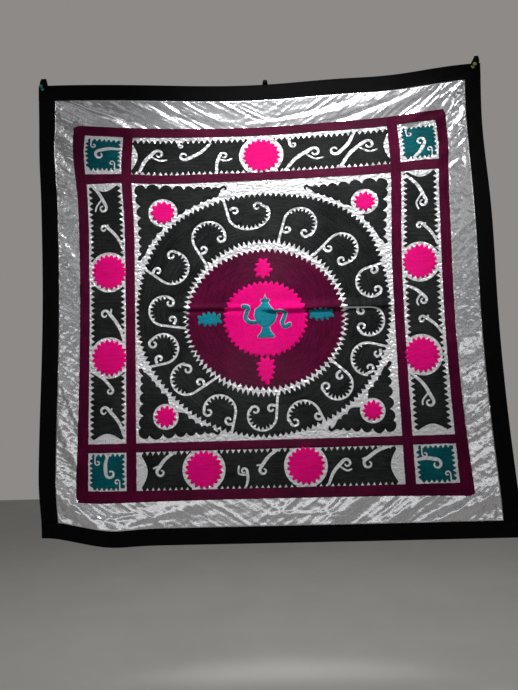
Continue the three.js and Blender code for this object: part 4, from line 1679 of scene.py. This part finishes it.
# %% [markdown]
# ## The lamps
# One small strong spot high in front makes the creases sparkle, brightest at the top as in the
# photograph. Its holder is squeezed so that its pool of light is wide and low. Broad soft lamps fill in
# from the front, from both sides and from above, and one lights the back.

# %% Lamps
LAMPS = [
    # name, place, aim, size and power
    ("ceiling", (0.0, -1.3, 2.3), (0.0, 0.0, -0.7), (3.0, 0.7), 4),
    ("room_front", (0.0, -2.4, -1.05), (0.0, 0.0, -0.8), (4.4, 0.7), 11),
    ("room_high", (0.0, -2.4, 0.6), (0.0, 0.0, -0.1), (4.4, 0.4), 3),
    ("left_soft", (-2.0, -1.0, 0.4), (0.0, 0.0, -0.6), (0.4, 0.9), 4),
    ("right_soft", (2.2, -1.1, 0.5), (0.0, 0.0, -0.6), (0.4, 0.9), 5),
    ("behind", (0.0, 2.4, 0.8), (0.0, 0.0, -0.9), (4.0, 1.2), 26),
]
SPOT = {"place": (0.2, -1.2, 1.85), "aim": (0.06, 0.0, -0.42), "radius": 0.08, "power": 470,
        "cone": math.radians(29), "flat": 0.5}


def hold(lamp, place, aim):
    """Puts a lamp in the scene, turned to where it aims, and gives back its holder."""
    holder = bpy.data.objects.new(lamp.name, lamp)
    holder.location = place
    holder.rotation_euler = (Vector(aim) - Vector(place)).to_track_quat("-Z", "Y").to_euler()
    holder.visible_camera = False
    bpy.context.scene.collection.objects.link(holder)
    return holder


for name, place, aim, (wide, high), power in LAMPS:
    lamp = bpy.data.lights.new(name, "AREA")
    lamp.shape = "RECTANGLE"
    lamp.size, lamp.size_y = wide, high
    lamp.energy = power
    hold(lamp, place, aim)
spot = bpy.data.lights.new("high_spot", "SPOT")
spot.energy = SPOT["power"]
spot.shadow_soft_size = SPOT["radius"]
spot.spot_size = SPOT["cone"]
spot.spot_blend = 1.0
hold(spot, SPOT["place"], SPOT["aim"]).scale = (1, SPOT["flat"], 1)
print(len(LAMPS), "soft lamps and one spot")

# %% [markdown]
# ## The camera
# It stands where the photographer stood: a little to the right, low, and turned slightly up.

# %% Camera
CAMERA_PLACE = (0.0379, -1.2897, -0.8171)
CAMERA_RIGHT = (0.9987, 0.0398, -0.0314)
CAMERA_UP = (0.0349, -0.0902, 0.9953)
CAMERA_FORWARD = (-0.0368, 0.9951, 0.0914)
CAMERA_LENS = 27.13
CAMERA_SENSOR = 36
lens = bpy.data.cameras.new("photo_camera")
lens.lens = CAMERA_LENS
lens.sensor_width = CAMERA_SENSOR
camera = bpy.data.objects.new("photo_camera", lens)
columns = Matrix((CAMERA_RIGHT, CAMERA_UP, [-value for value in CAMERA_FORWARD])).transposed()
camera.matrix_world = Matrix.Translation(CAMERA_PLACE) @ columns.to_4x4()
bpy.context.scene.collection.objects.link(camera)
bpy.context.scene.camera = camera
print("camera at", CAMERA_PLACE)

# %% Update the scene
bpy.context.view_layer.update()
